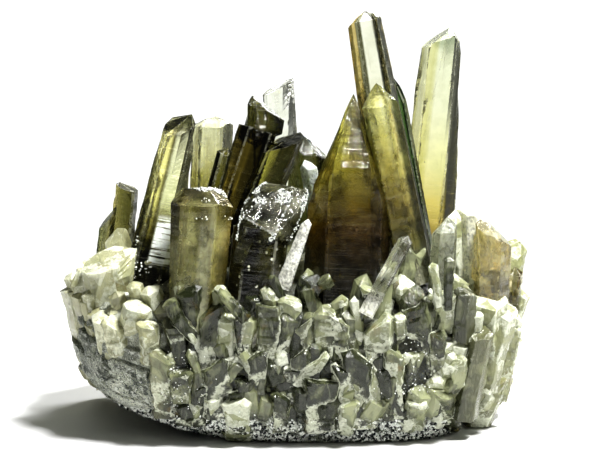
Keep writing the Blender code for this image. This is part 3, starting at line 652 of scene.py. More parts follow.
LARGE = {
    "honey_prism": ("crystal_left_honey", crystal(
        (-36, -13, 35), (-27.4, -8, 80), 14.6, 11.5, taper=0.53, head=0,
        breaks=[((-27.8, -11.6, 73.6), (-0.05, -0.55, 0.83)),
          ((-31, -9, 76.2), (-0.62, -0.1, 0.78))]), dict(
        tint=(92, 90, 56), density=16, milk_top=-0.4, lines=0.5, streak=0.12, painted_reflection=(0.2, 0.5, 0.14, 0.44),
        tint_and_shade_across=[(0, 5, 6, 2), (7, 100, 96, 50), (24, 100, 93, 48), (30, 8, 7, 2), (36, 100, 100, 84),
          (66, 92, 92, 70), (76, 100, 100, 88), (90, 100, 100, 72), (100, 10, 9, 3)],
        heights=[(0, 1, 1, 0.5), (26, 3, 3, 1.2), (36, 30, 28, 14), (52, 90, 92, 72),
          (84, 100, 100, 92), (89, 6, 6, 3), (100, 10, 11, 5)])),
    "milky_back_prism": ("crystal_back_milky", crystal(
        (-22.4, 12, 44), (-21.4, 13, 76.6), 11.2, 9, taper=0.97, head=0.6, shift=(0.6, 1),
        breaks=[((-20.5, 13, 75.8), (0.04, -0.25, 0.97))]), dict(
        tint=(76, 75, 44), density=55, milk=(52, 53, 38), cloud=0.4, milk_top=-0.6, frost=0.1, streak=0.4,
        heights=[(0, 3, 3, 1), (30, 10, 9, 2), (52, 40, 37, 10), (72, 92, 90, 62), (100, 95, 97, 86)])),
    "dark_stem": ("crystals_dark_group", crystal(
        (-19.2, -1.5, 45.5), (-9.8, 3, 73.5), 10.2, 8.4, taper=1, turn=8, head=0), dict(
        tint=(52, 46, 10), density=200, milk_top=-0.5, streak=0.8, veil_and_reflection=(2, 1.8, 0.6),
        tint_and_shade_across=[(0, 3, 3, 1), (25, 16, 13, 3), (45, 42, 34, 9), (60, 12, 10, 3), (100, 3, 3, 1)])),
    "dark_head": ("crystals_dark_group", crystal(
        (-8.8, 2.6, 69.4), (-6.8, 4.5, 81.5), 11.2, 9.4, taper=0.92, turn=20, head=0,
        breaks=[((-12.6, 2, 79.6), (-0.95, -0.1, 0.2)), ((-9.6, 1, 79.2), (-0.03, -0.5, 0.86)),
          ((-4.4, 2, 76.6), (0.58, -0.12, 0.8)), ((-4.2, 2, 72.4), (0.3, -0.2, -0.93)),
          ((-12.6, 1, 72), (-0.62, -0.3, -0.72))]), dict(
        tint=(50, 50, 18), density=190, milk_top=-2, lines=1, whitened=0.02, streak=0.6, veil_and_reflection=(2, 2, 1),
        tint_and_shade_across=[(0, 12, 13, 5), (30, 5, 5, 2), (70, 20, 19, 6), (100, 3, 4, 2)])),
    "dark_splinter": ("crystals_dark_group", crystal(
        (-23, -3.2, 49), (-17.5, -2, 69.6), 4, 4.6, taper=0.95, turn=12, head=0.8, shift=(0.6, 0.5)), dict(
        tint=OLIVE, density=200, milk_top=-0.5, tint_and_shade_across=[(0, 5, 6, 2), (50, 72, 74, 52), (100, 8, 8, 3)])),
    "dark_slab": ("crystals_dark_group", crystal(
        (-13.4, -2.6, 45), (-1, 1.2, 76), 11, 9, taper=0.84, turn=-6, head=0,
        breaks=[((-2, 0, 70.8), (-0.24, -0.32, 0.92)), ((-5.2, 0, 70.2), (-0.5, -0.2, 0.84))]), dict(
        tint=(72, 69, 28), density=50, milk_top=-0.5, streak=0.3, lines=0.5, whitened=0.04,
        tint_and_shade_across=[(0, 55, 53, 16), (20, 45, 43, 10), (34, 3, 3, 1), (60, 5, 5, 1.5), (74, 60, 60, 22),
          (85, 10, 10, 3), (100, 30, 30, 10)])),
    "back_dark_prism": ("crystals_back_dark", crystal(
        (1.4, 13.5, 46), (3.6, 14.5, 70.8), 10.6, 9, taper=0.95, turn=10, head=0.9,
        shift=(-1.4, 0.6)), dict(
        tint=(36, 40, 16), density=260, milk_top=-0.5, streak=0.7, lines=0.8, whitened=0,
        tint_and_shade_across=[(0, 5, 6, 2), (50, 20, 21, 8), (100, 3, 4, 2)],
        heights=[(80, 100, 100, 100), (93, 25, 26, 14)])),
    "back_dark_shard": ("crystals_back_dark", crystal(
        (10, 15, 44), (9.8, 15, 66.5), 6.2, 6, taper=0.9, turn=25, head=0.7, shift=(-0.8, 0)), dict(
        tint=(36, 40, 16), density=330, milk_top=-0.5, streak=0.7, lines=0.8,
        tint_and_shade_across=[(0, 5, 6, 2), (50, 20, 20, 9), (100, 3, 4, 2)])),
    "grey_slanted_prism": ("crystal_grey_slanted", crystal(
        (6.8, 3.6, 44), (2.6, 4.6, 66), 5.6, 5, taper=0.8, turn=20, head=1.3, shift=(-0.5, 0)), dict(
        tint=GREY, density=90, cloud=0.8, milk=(60, 66, 62), milk_top=0.6, frost=0.25)),
    "far_clear_prism": ("crystal_back_clear", crystal(
        (-2.4, 30, 40), (-5.4, 32, 88), 9.2, 8, taper=0.93, turn=4, head=0,
        breaks=[((-5.5, 32, 83), (-0.46, -0.18, 0.87))]), dict(
        tint=(92, 96, 94), density=8, milk_top=-0.4, lines=0.2, streak=0,
        tint_and_shade_across=[(0, 100, 100, 100), (72, 100, 100, 100), (84, 66, 72, 76), (100, 85, 88, 90)])),
    "olive_prism": ("crystals_olive_pair", crystal(
        (-46, 12, 37), (-43.2, 12, 60.5), 6.6, 6, taper=0.9, turn=10, head=0,
        breaks=[((-43.4, 12, 58.2), (0.34, -0.2, 0.92))]), dict(
        tint=OLIVE, density=170, milk_top=-0.2,
        tint_and_shade_across=[(0, 6, 8, 3), (35, 55, 50, 26), (60, 20, 20, 8), (100, 10, 10, 4)])),
    "olive_side_prism": ("crystals_olive_pair", crystal(
        (-50, 11.4, 36), (-47.9, 11.4, 54), 4.8, 4.6, taper=0.95, turn=4, head=0,
        breaks=[((-48.4, 11, 50.2), (-0.74, -0.2, 0.64))]), dict(
        tint=OLIVE, density=150, milk_top=-0.1, tint_and_shade_across=[(0, 5, 8, 5), (40, 40, 38, 20), (100, 10, 10, 4)])),
    "stubby_prism": ("crystal_front_left", crystal(
        (-23.8, -25.2, 28), (-21.6, -24.2, 66), 13.6, 10.5, taper=1.2, turn=-4, head=0,
        breaks=[((-29.2, -25, 58.2), (-0.66, -0.2, 0.72)), ((-22.8, -27.6, 59.4), (-0.02, -0.5, 0.86)),
          ((-16.4, -25, 58.2), (0.6, -0.16, 0.78)), ((-22.5, -24, 61.4), (0.03, 0.1, 0.99))],
        root=0.5), dict(
        tint=(84, 82, 52), density=13, milk=(46, 48, 28), cloud=0.45, hazy=(100, 100, 78), milk_top=0.16,
        milk_soft=0.45, streak=0.45, lines=0.6, whitened=0.3,
        tint_and_shade_across=[(0, 3, 3, 1), (8, 26, 24, 10), (28, 84, 83, 50), (42, 56, 54, 26), (48, 98, 98, 86),
          (62, 95, 95, 80), (68, 66, 61, 30), (86, 52, 40, 13), (100, 5, 4, 2)],
        heights=[(0, 80, 80, 70), (70, 100, 100, 100), (84, 50, 48, 32), (100, 30, 28, 18)])),
    "druzy_block": ("crystals_front_druzy", crystal(
        (-10.2, -25, 33), (-8, -23.4, 52), 13.6, 11, taper=1.04, turn=6, head=0), dict(
        tint=(68, 66, 30), density=52, milk_top=-0.1, lines=0.8, frost=0.05, streak=0.4, specks=0.9,
        veil_and_reflection=(3, 3, 1.2),
        tint_and_shade_across=[(0, 3, 3, 1), (35, 10, 10, 4), (60, 44, 40, 14), (80, 50, 46, 17), (100, 10, 10, 5)])),
    "druzy_head": ("crystals_front_druzy", crystal(
        (-8.6, -24.6, 49.6), (-3.6, -19.6, 63), 15.6, 11, taper=0.96, turn=-8, head=0,
        breaks=[((-6.5, -25.2, 55.8), (0.1, -0.72, 0.69)),
          ((-10.6, -23, 58), (-0.6, -0.2, 0.78)), ((-13, -23, 54), (-0.99, 0.05, 0.12)),
          ((-4, -21, 60.4), (-0.04, -0.24, 0.96)), ((-6.4, -28.6, 49.2), (0.3, -0.3, -0.9))]), dict(
        tint=(66, 65, 36), density=40, milk_top=-2, lines=1, frost=0.08, streak=0.4, specks=0.4,
        veil_and_reflection=(3, 3, 1.5), milk=(46, 48, 38), cloud=0.42, hazy=(100, 100, 88),
        tint_and_shade_across=[(0, 14, 14, 7), (40, 28, 28, 14), (70, 55, 55, 40), (100, 12, 12, 6)],
        heights=[(50, 50, 50, 40), (85, 100, 100, 100)])),
    "white_splinter": ("crystals_front_druzy", crystal(
        (-0.4, -26.2, 45.6), (3, -26.4, 54.6), 3.4, 2.6, taper=0.7, turn=15, head=1.6), dict(
        tint=GREY, density=30, cloud=1, milk=(66, 66, 58), milk_top=1.5)),
    "brown_spire": ("crystals_tall_group", crystal(
        (11.6, -22.4, 34), (13.7, -16.6, 83.4), 21.4, 15, taper=0.93, turn=5, head=3), dict(
        tint=(66, 62, 22), density=55, whitened=0.03, milk=(36, 36, 20), milk_top=-0.1, milk_soft=0.14,
        lines=0.45, streak=0, specks=0.3, cloud=0.5, hazy=(42, 41, 15),
        tint_and_shade_across=[(0, 16, 15, 5), (6, 80, 78, 36), (22, 66, 62, 24), (40, 50, 46, 16), (55, 46, 40, 13),
          (80, 36, 31, 10), (100, 12, 9, 2)],
        heights=[(0, 4, 4, 1), (16, 11, 9, 3), (34, 40, 24, 8), (50, 52, 44, 16), (75, 95, 96, 58),
          (92, 100, 100, 80), (100, 85, 88, 75)])),
    "tall_clear_prism": ("crystals_tall_group", crystal(
        (25.2, -11.6, 50), (15.9, -12, 102.8), 13.4, 10, taper=0.64, turn=3, head=0.8,
        shift=(0.6, 0)), dict(
        tint=(74, 70, 30), density=22, milk_top=-0.3, lines=0.2, streak=0.05, specks=0.1,
        tint_and_shade_across=[(0, 20, 14, 4), (5, 92, 62, 16), (15, 80, 52, 12), (19, 6, 6, 3), (30, 10, 10, 5),
          (34, 100, 100, 100), (62, 100, 100, 100), (66, 3, 3, 3), (76, 10, 11, 8), (80, 42, 43, 34),
          (95, 30, 31, 24), (100, 10, 10, 5)],
        heights=[(0, 10, 10, 5), (25, 22, 21, 10), (45, 80, 78, 45), (62, 100, 100, 95),
          (100, 100, 100, 100)])),
    "olive_front_prism": ("crystals_tall_group", crystal(
        (27, -19.6, 46), (19, -18.8, 86), 9.6, 8.4, taper=0.93, turn=-12, head=1.5), dict(
        tint=(86, 85, 58), density=9, milk_top=-0.1, lines=0.35, streak=0, cloud=0.5, hazy=(90, 92, 62),
        tint_and_shade_across=[(0, 95, 95, 74), (6, 92, 90, 62), (44, 95, 92, 64), (50, 100, 100, 92), (58, 100, 100, 92),
          (64, 60, 58, 34), (74, 100, 100, 88), (84, 16, 18, 8), (100, 12, 12, 5)],
        heights=[(0, 22, 22, 11), (30, 52, 42, 20), (50, 96, 86, 50), (80, 100, 100, 90),
          (95, 95, 94, 74), (100, 45, 42, 24)])),
    "green_shard": ("crystals_tall_group", crystal(
        (30.4, -6.4, 50), (23.6, -6.8, 87), 5, 5.6, taper=0.85, turn=10, head=3.4), dict(
        tint=(42, 52, 26), density=160, milk_top=-0.3,
        tint_and_shade_across=[(0, 12, 16, 6), (60, 16, 26, 10), (100, 4, 14, 6)])),
    "tall_pale_prism": ("crystal_right_tall", crystal(
        (32.8, 4.4, 46), (36.3, 4, 99), 15.8, 12, taper=0.66, turn=-3, head=0,
        breaks=[((30.4, 3, 93.4), (-0.52, -0.12, 0.85)), ((38.3, 2, 98.2), (0.8, -0.15, 0.58)),
          ((36, -0.6, 95.4), (-0.1, -0.62, 0.78))]), dict(
        tint=(78, 79, 50), density=20, milk_top=-0.2, lines=0.2, streak=0.15, specks=0.05,
        tint_and_shade_across=[(0, 70, 68, 42), (8, 95, 92, 66), (28, 76, 74, 44), (33, 98, 98, 92), (66, 96, 97, 86),
          (70, 6, 6, 2), (78, 14, 13, 5), (84, 66, 66, 50), (92, 80, 80, 70), (100, 6, 8, 3)],
        heights=[(0, 25, 16, 4), (16, 80, 66, 25), (36, 98, 94, 62), (62, 100, 100, 92),
          (88, 96, 98, 92), (93, 62, 68, 60), (100, 45, 52, 46)])),
    "right_back_block": ("crystals_right_block", crystal(
        (44, -13.4, 33), (42.4, -12, 57), 10, 9, taper=0.92, turn=8, head=0.8, shift=(-1, 0),
        breaks=[((43.6, -14, 54.4), (0.42, -0.3, 0.86))]), dict(
        tint=GREY, density=120, cloud=0.75, milk=(66, 66, 54), milk_top=0.3, frost=0.2)),
    "right_brown_block": ("crystals_right_block", crystal(
        (46.6, -16.6, 32), (47.4, -19, 53), 9.6, 8.4, taper=0.98, turn=-8, head=0,
        breaks=[((45.6, -21, 50.6), (0.34, -0.45, 0.82)), ((49.6, -19, 48.8), (0.68, -0.1, 0.72))],
        root=5), dict(
        tint=(74, 70, 42), density=40, milk_top=0, cloud=0.45, milk=(46, 44, 26),
        tint_and_shade_across=[(0, 85, 85, 66), (12, 78, 72, 42), (50, 80, 72, 42), (85, 60, 48, 22), (100, 80, 78, 62)],
        heights=[(0, 35, 26, 12), (40, 80, 70, 46), (100, 100, 96, 82)])),
    "far_right_prism": ("crystal_far_right", crystal(
        (51.8, -11.4, 26), (53.4, -11.4, 41), 5.4, 5, taper=0.9, turn=10, head=0.9, root=2), dict(
        tint=BROWN, density=300, milk_top=0)),
    "grey_druzy_prism": ("crystal_grey_druzy", crystal(
        (34.6, -20, 32), (35.2, -25, 54.8), 7.2, 6.4, taper=0.86, turn=12, head=1.3, shift=(0.5, 0),
        root=5), dict(
        tint=GREY, density=160, cloud=0.55, milk=(40, 42, 32), milk_top=0.1, lines=0.9, frost=0.1)),
    "leaning_clear_prism": ("crystal_leaning_clear", crystal(
        (17.2, -31.4, 34.4), (26.2, -29.6, 51), 3.8, 3.6, taper=0.95, turn=6, head=1.2, root=2), dict(
        tint=GREY, density=80, cloud=0.35, milk_top=0.1, milk=(66, 66, 56))),
}

# %% Make the large crystals
for order, (name, (node, form, finish)) in enumerate(LARGE.items()):
    shell, numbers = crystal_shell(form, seed=order)
    add_piece(name, [shell], smoky_quartz(name, form, **finish), numbers, node, node)


# %% [markdown]
# ## The milky mass
#
# Below the prisms is a hand-sized lump of milky quartz. It is widest at its waist, undercut on
# the left, and flat underneath. It could be sculpted, but its outline at each height is already
# known from the solid model, so the surface is a grid of angle and height: a squarish oval at
# each height, roughened with noise of three sizes.

# %% Value noise on whole arrays
def lattice(cell, seed):
    """A repeatable number between 0 and 1 for each whole-numbered cell."""
    mixed = np.sin(cell @ np.array([127.1, 311.7, 74.7]) + 17.3 * seed) * 43758.5453
    return mixed - np.floor(mixed)


def noise(points, size, seed=0):
    """Smooth noise from -1 to 1 at points, with bumps about size across.

    The eight corners of the cell round a point each have a number, and the point gets their
    mean, weighted by how near it is to each.
    """
    cell = np.floor(points / size)
    part = points / size - cell
    part = part * part * (3.0 - 2.0 * part)
    total = np.zeros(points.shape[:-1])
    for corner in itertools.product((0.0, 1.0), repeat=3):
        offset = np.array(corner)
        weight = np.prod(np.where(offset > 0.5, part, 1.0 - part), axis=-1)
        total += weight * lattice(cell + offset, seed)
    return 2.0 * total - 1.0


sample = noise(np.random.default_rng(0).uniform(0.0, 50.0, (1000, 3)), 5.0)
print("noise runs from", round(sample.min(), 2), "to", round(sample.max(), 2))


# %% Shape of the mass
RINGS = np.array([
    # height, then reach to the left, right, front and back
    (0.0, -25.0, 40.5, -22.5, 29.0),
    (3.5, -39.0, 43.0, -26.0, 32.0),
    (9.0, -49.5, 46.5, -29.0, 35.0),
    (16.0, -55.0, 50.0, -31.0, 38.0),
    (24.0, -57.0, 52.5, -31.5, 40.0),
    (31.0, -56.5, 53.0, -30.0, 39.0),
    (36.5, -52.5, 50.0, -26.0, 36.0),
    (40.0, -40.0, 42.0, -17.0, 29.0),
    (42.0, -2.0, 2.0, -2.0, 2.0),
])
RING_SQUARENESS = 0.70
TOP_POINT, UNDERSIDE_POINT = np.array([0.0, 4.0, 42.0]), np.array([5.0, 3.0, 0.0])
HEART = np.array([0.0, 4.0, 14.0])       # the lumps push out from here
LUMPS = ((0.9, 9.0), (0.5, 3.2), (0.22, 1.1))    # how far each kind of lump stands out, and its size
LEDGE_SIZE, LEDGE_WIDTH, LEDGE_DEPTH = 5.0, 0.12, 1.2
ROW_SHARES, ROW_HEIGHTS = [0.0, 0.62, 0.8, 0.9, 1.0], [0.0, 31.0, 38.5, 40.5, 42.0]


def ring(height):
    """Reach of the mass to the left, right, front and back at a height."""
    return (np.interp(height, RINGS[:, 0], RINGS[:, i]) for i in range(1, 5))


def oval(height, angle):
    """Point of the mass's outline at a height and an angle: a squarish oval."""
    left, right, front, back = ring(height)
    c, s = np.cos(angle), np.sin(angle)
    x = (left + right) / 2.0 + (right - left) / 2.0 * np.sign(c) * np.abs(c) ** RING_SQUARENESS
    y = np.where(s > 0.0, back, -front) * np.sign(s) * np.abs(s) ** RING_SQUARENESS
    return np.stack([x, y, np.broadcast_to(height, x.shape)], -1)


def mass_grid(rows=150, columns=420):
    """The lump's surface: ovals from the underside to the crown, pushed in and out by noise."""
    height = np.interp(np.linspace(0.0, 1.0, rows), ROW_SHARES, ROW_HEIGHTS)[:, None]
    angle = np.linspace(0.0, 2.0 * np.pi, columns, endpoint=False)[None]
    grid = oval(height, np.broadcast_to(angle, (rows, columns)))
    outward = grid - HEART
    outward /= np.linalg.norm(outward, axis=-1, keepdims=True)
    flat = np.clip(grid[..., 2] / 2.0, 0.0, 1.0)
    push = sum(proud * noise(grid, size, seed) for seed, (proud, size) in enumerate(LUMPS, 1)) - 0.9
    leaning = grid * np.array([0.5, 1.0, 1.6]) + grid[..., :1] * np.array([0.0, 0.0, 0.5])
    ledge = np.abs(noise(leaning, LEDGE_SIZE, 4)) < LEDGE_WIDTH
    grid = grid + outward * ((push - LEDGE_DEPTH * ledge) * flat)[..., None]
    grid[..., 2] = np.maximum(grid[..., 2], 0.0)
    grid[0, :, 2] = 0.0
    return grid


# %% [markdown]
# Milky quartz is white because it is full of tiny bubbles: light goes in, scatters and comes
# out nearby. It has darker, clearer patches, and its broken underside sparkles like sugar with
# blue-grey specks. The lines that run down to the right on the left flank are where sheets of it
# have parted.

# %% Milky quartz of the mass
def milky_rock(name):
    """Scattering white with clear patches, parting lines, sugary specks and painted shade between the
    columns.
    """
    paint = Paint(name)
    place = paint.place()
    lump = paint.noise(place, 90.0, 5.0, 0.6)
    fine = paint.noise(place, 900.0, 4.0, 0.6)
    speck = paint.noise(place, 2600.0, 2.0, 0.5)
    slant = paint.place((0.0, math.radians(-48.0), 0.0), stretch=(220.0, 220.0, 480.0))
    sheets = paint.noise(slant, 1.0, 5.0, 0.7, distortion=0.6)
    line = sheets.ramp(0.5, 0.55) * (1.0 - sheets.ramp(0.56, 0.63))
    across, inward, height = (paint.axis(place, letter) for letter in "XYZ")
    # Painted shade: the front of the rock is painted dark where it shows in the gaps behind the columns.
    shade_between_columns = ((across + 0.012 * (lump - 0.5)).ramp(-0.034, -0.028) * height.ramp(0.007, 0.011)
               * (1.0 - 0.75 * inward.ramp(-0.020, 0.0)))
    downward = 1.0 - height.ramp(0.010, 0.034)
    base = paint.blend((lump + 0.5 * (fine - 0.5)).ramp(0.40, 0.60), (0.62, 0.64, 0.52), (0.22, 0.24, 0.17))
    base = paint.painted(
        base,
        ((sheets + 0.4 * (lump - 0.5)).ramp(0.52, 0.62) * (0.2 + 0.7 * downward), (0.04, 0.05, 0.04)),
        (shade_between_columns * (1.0 - 0.4 * fine.ramp(0.5, 0.7)), (0.04, 0.042, 0.022)),
        (speck.ramp(0.50, 0.58) * (0.25 + 0.65 * downward), (0.02, 0.03, 0.04)),
        ((fine + 0.5 * (speck - 0.5)).ramp(0.52, 0.64) * 0.8 * (1.0 - shade_between_columns), (0.78, 0.80, 0.72)))
    relief = paint.bump(fine + 0.5 * speck + 0.6 * line, 1.0, 0.0007)
    paint.surface(paint.scattering(base, 0.28 + 0.4 * fine, relief, 0.25))
    return paint


rock = closed_shell(mass_grid(), TOP_POINT, UNDERSIDE_POINT)
add_piece("milky_mass", [rock], milky_rock("milky_rock"), {}, "matrix", "milky_quartz", smooth=True)

# %% [markdown]
# ## Milky columns
#
# The front of the mass is packed with short upright columns, grown side by side, and more of them
# fan out round the sides and the back. Each is the same kind of shell as the large crystals, with
# fewer rows. They are grey and half clear in the middle and white where their edges are chipped.

# %% Places of the milky columns
# Front columns: tip x, tip height, length, width, lean to the right
FRONT_COLUMNS = (
    (-15.6, 36.6, 17.0, 5.6, 0.04), (-11.4, 34.2, 11.0, 4.6, 0.05), (-18.0, 26.4, 17.0, 8.0, 0.05),
    (-7.8, 25.2, 17.0, 8.8, 0.06), (-2.4, 36.8, 13.0, 7.2, 0.13), (2.9, 35.6, 17.0, 6.8, 0.07),
    (8.4, 36.8, 17.0, 6.4, 0.02), (5.6, 20.8, 16.0, 8.0, 0.06), (16.3, 25.8, 20.0, 8.8, 0.02),
    (19.0, 36.2, 13.0, 9.4, 0.02), (27.0, 26.4, 22.0, 7.8, 0.02), (-0.8, 24.6, 17.0, 6.0, 0.06),
    (10.9, 22.2, 17.0, 4.8, 0.02), (22.4, 25.2, 18.0, 4.6, 0.02), (17.0, 39.4, 9.0, 4.0, 0.0),
    (27.7, 40.0, 15.0, 6.4, 0.04), (34.6, 26.6, 22.0, 7.0, 0.04), (-24.4, 41.8, 15.0, 8.0, -0.07),
    (-22.6, 20.4, 14.0, 6.6, 0.0), (-13.2, 17.2, 13.0, 5.4, 0.04), (24.2, 33.0, 7.0, 3.4, 0.0),
    (31.4, 37.2, 14.0, 4.6, 0.06), (-10.2, 39.2, 9.0, 4.8, 0.1), (-5.4, 39.0, 9.0, 5.0, 0.1),
    (12.6, 33.6, 12.0, 5.0, 0.05), (-28.6, 33.6, 14.0, 6.0, -0.1),
)
FRONT_COLUMN_PROUD = 1.7
FRONT_COLUMN_BREADTH = 1.15
LOWEST_FOOT = 2.5
WAIST = 24.0

# Shoulder crystals: foot, tip and width
SHOULDER_CRYSTALS = (
    ((-11.8, -33.0, 32.0), (-17.4, -33.6, 40.2), 3.2), ((-49.0, -11.0, 28.0), (-53.0, -12.0, 41.6), 7.6),
    ((-41.0, -6.0, 36.0), (-45.6, -4.0, 50.0), 7.4), ((-49.0, 0.0, 30.0), (-53.6, 0.0, 43.0), 7.6),
    ((24.8, -21.0, 34.0), (27.6, -21.6, 52.0), 8.6), ((20.6, -25.0, 32.0), (22.6, -25.0, 45.0), 5.4),
    ((33.6, -29.4, 34.0), (32.4, -31.0, 45.8), 2.6), ((35.4, -29.4, 34.0), (36.2, -31.0, 46.6), 2.6),
    ((39.4, -24.0, 26.0), (40.6, -27.6, 40.6), 6.4), ((38.6, -14.0, 38.0), (38.0, -15.0, 55.6), 5.6),
    ((40.6, -19.0, 6.0), (44.6, -25.0, 30.0), 7.4), ((46.0, -16.0, 12.0), (51.2, -20.0, 35.4), 7.0),
    ((49.0, -8.0, 18.0), (55.4, -10.0, 37.0), 6.4), ((50.6, -2.0, 26.0), (54.6, -2.0, 48.0), 7.4),
    ((45.6, -4.0, 34.0), (48.6, -4.0, 52.4), 7.0), ((-0.6, -14.0, 36.0), (-1.0, -15.0, 47.0), 6.0),
    ((-29.0, -4.0, 36.0), (-31.0, -3.0, 48.0), 8.0), ((24.0, 6.0, 38.0), (22.0, 8.0, 52.0), 8.0),
    ((-33.0, 14.0, 36.0), (-34.0, 15.0, 52.0), 8.6), ((-12.0, 16.0, 38.0), (-11.0, 18.0, 54.0), 8.0),
    ((16.0, 20.0, 36.0), (17.0, 23.0, 54.0), 9.0),
)

# Shoulder blocks: tone, foot, tip, width, depth, turn and slope of the head
SHOULDER_BLOCKS = (
    (0.66, (-41.6, -9.0, 24.0), (-46.8, -17.4, 48.4), 19.0, 14.0, 10.0, 0.22),
    (0.85, (-42.0, -19.5, 20.0), (-43.4, -23.0, 34.0), 11.0, 8.0, 28.0, 0.4),
    (0.7, (-50.0, -6.0, 18.0), (-53.6, -9.0, 39.0), 10.0, 10.0, 0.0, 0.5),
)

# Tiers of the fan: height of the tips, how proud they are, rise, width, how many, first and last angle
FAN_TIERS = (
    (15.0, 2.4, 2.6, 8.0, 13, -8.0, 150.0),
    (25.0, 2.6, 3.2, 8.6, 14, -4.0, 162.0),
    (35.0, 2.8, 3.6, 8.2, 16, 2.0, 180.0),
    (43.5, 2.0, 4.5, 8.6, 14, 8.0, 200.0),
)
CROWN_COUNT = 14
CROWN_ARC = (14.0, 156.0)
CROWN_REACH = (38.0, 24.0)
CROWN_FOOT, CROWN_TIP = 37.0, 53.0


def front_surface(x, height):
    """How far forward the mass reaches at a place on its front."""
    left, right, front, _ = ring(height)
    c = np.minimum(0.98, np.abs((x - (left + right) / 2.0) / ((right - left) / 2.0)))
    return front * (1.0 - c ** (2.0 / RING_SQUARENESS)) ** (RING_SQUARENESS / 2.0)


# %% Small crystals, each drawn by chance
def drawn(chance, measure):
    """A measure as it is, or one between the two of a pair."""
    return chance.uniform(*measure) if isinstance(measure, tuple) else measure


def grown(chance, foot, tip, width, head, depth=1.0, taper=1.0, turn=(0.0, 60.0), sway=0.0, back=0.0):
    """A small crystal; measures that are pairs are drawn, and sway moves its apex to one side."""
    depth, taper, turn, head = (drawn(chance, measure) for measure in (depth, taper, turn, head))
    aside = sway * width * chance.uniform(-1.0, 1.0) if sway else 0.0
    return crystal(foot, tip, width, depth * width, taper=taper, turn=turn, head=head,
                   shift=(aside, back * width), root=0.5)


def bearing(angle):
    """The level direction at an angle."""
    return np.array([math.cos(angle), math.sin(angle), 0.0])


def front_columns(chance):
    """The upright columns of the front, from their table."""
    for x, height, length, width, lean in FRONT_COLUMNS:
        low = max(LOWEST_FOOT, height - length)
        broad = FRONT_COLUMN_BREADTH * width
        proud = FRONT_COLUMN_PROUD * chance.uniform(0.7, 1.3)
        foot = (x - lean * length, front_surface(x, low) + 0.5 * broad + 0.3, low)
        tip = (x, front_surface(x, WAIST) + FACE_REACH * broad - proud, height)
        yield grown(chance, foot, tip, broad, (0.35, 1.2), turn=(-25.0, 25.0), sway=0.25, back=0.1)


def shoulder_crystals(chance):
    """The steep crystals of the shoulders, and the three thick blocks on the left one."""
    for foot, tip, width in SHOULDER_CRYSTALS:
        yield grown(chance, foot, tip, width, (0.6, 1.3), depth=0.9, turn=(-20.0, 20.0), sway=0.1)
    for tone, foot, tip, width, depth, turn, head in SHOULDER_BLOCKS:
        yield {"tone": tone, **crystal(foot, tip, width, depth, turn=turn, head=head, root=1.0)}


def fan_crystals(chance):
    """Four tiers of crystals that fan out round the sides and the back."""
    for height, proud, rise, width, count, start, end in FAN_TIERS:
        for step in range(count):
            angle = math.radians(start + (step + chance.uniform(0.15, 0.85)) / count * (end - start))
            size = width * chance.uniform(0.75, 1.3)
            level = height + chance.uniform(-3.5, 3.5)
            aim = unit(bearing(angle) + np.array([chance.uniform(-0.25, 0.25), 0.0, rise]))
            tip = oval(level, np.array(angle)) + bearing(angle) * proud * chance.uniform(0.5, 1.3)
            foot = tip - aim * min(size * 2.3, 0.9 * (tip[2] - 2.0) / aim[2])
            yield grown(chance, foot, tip, size, (0.7, 1.5))


def crown_crystals(chance):
    """Pointed crystals on the top of the mass, behind the large ones."""
    for step in range(CROWN_COUNT):
        angle = math.radians(CROWN_ARC[0] + CROWN_ARC[1] * (step + chance.uniform(0.2, 0.8)) / CROWN_COUNT)
        share = 1.0 if step % 2 else 0.55
        x = CROWN_REACH[0] * share * math.cos(angle) * chance.uniform(0.9, 1.15)
        y = CROWN_REACH[1] * share * math.sin(angle) + 5.0
        size = chance.uniform(6.5, 9.5)
        tip = (1.12 * x, 1.15 * y, CROWN_TIP - 0.14 * abs(x) - chance.uniform(0.0, 5.0))
        yield grown(chance, (x, y, CROWN_FOOT), tip, size, (0.9, 1.3))


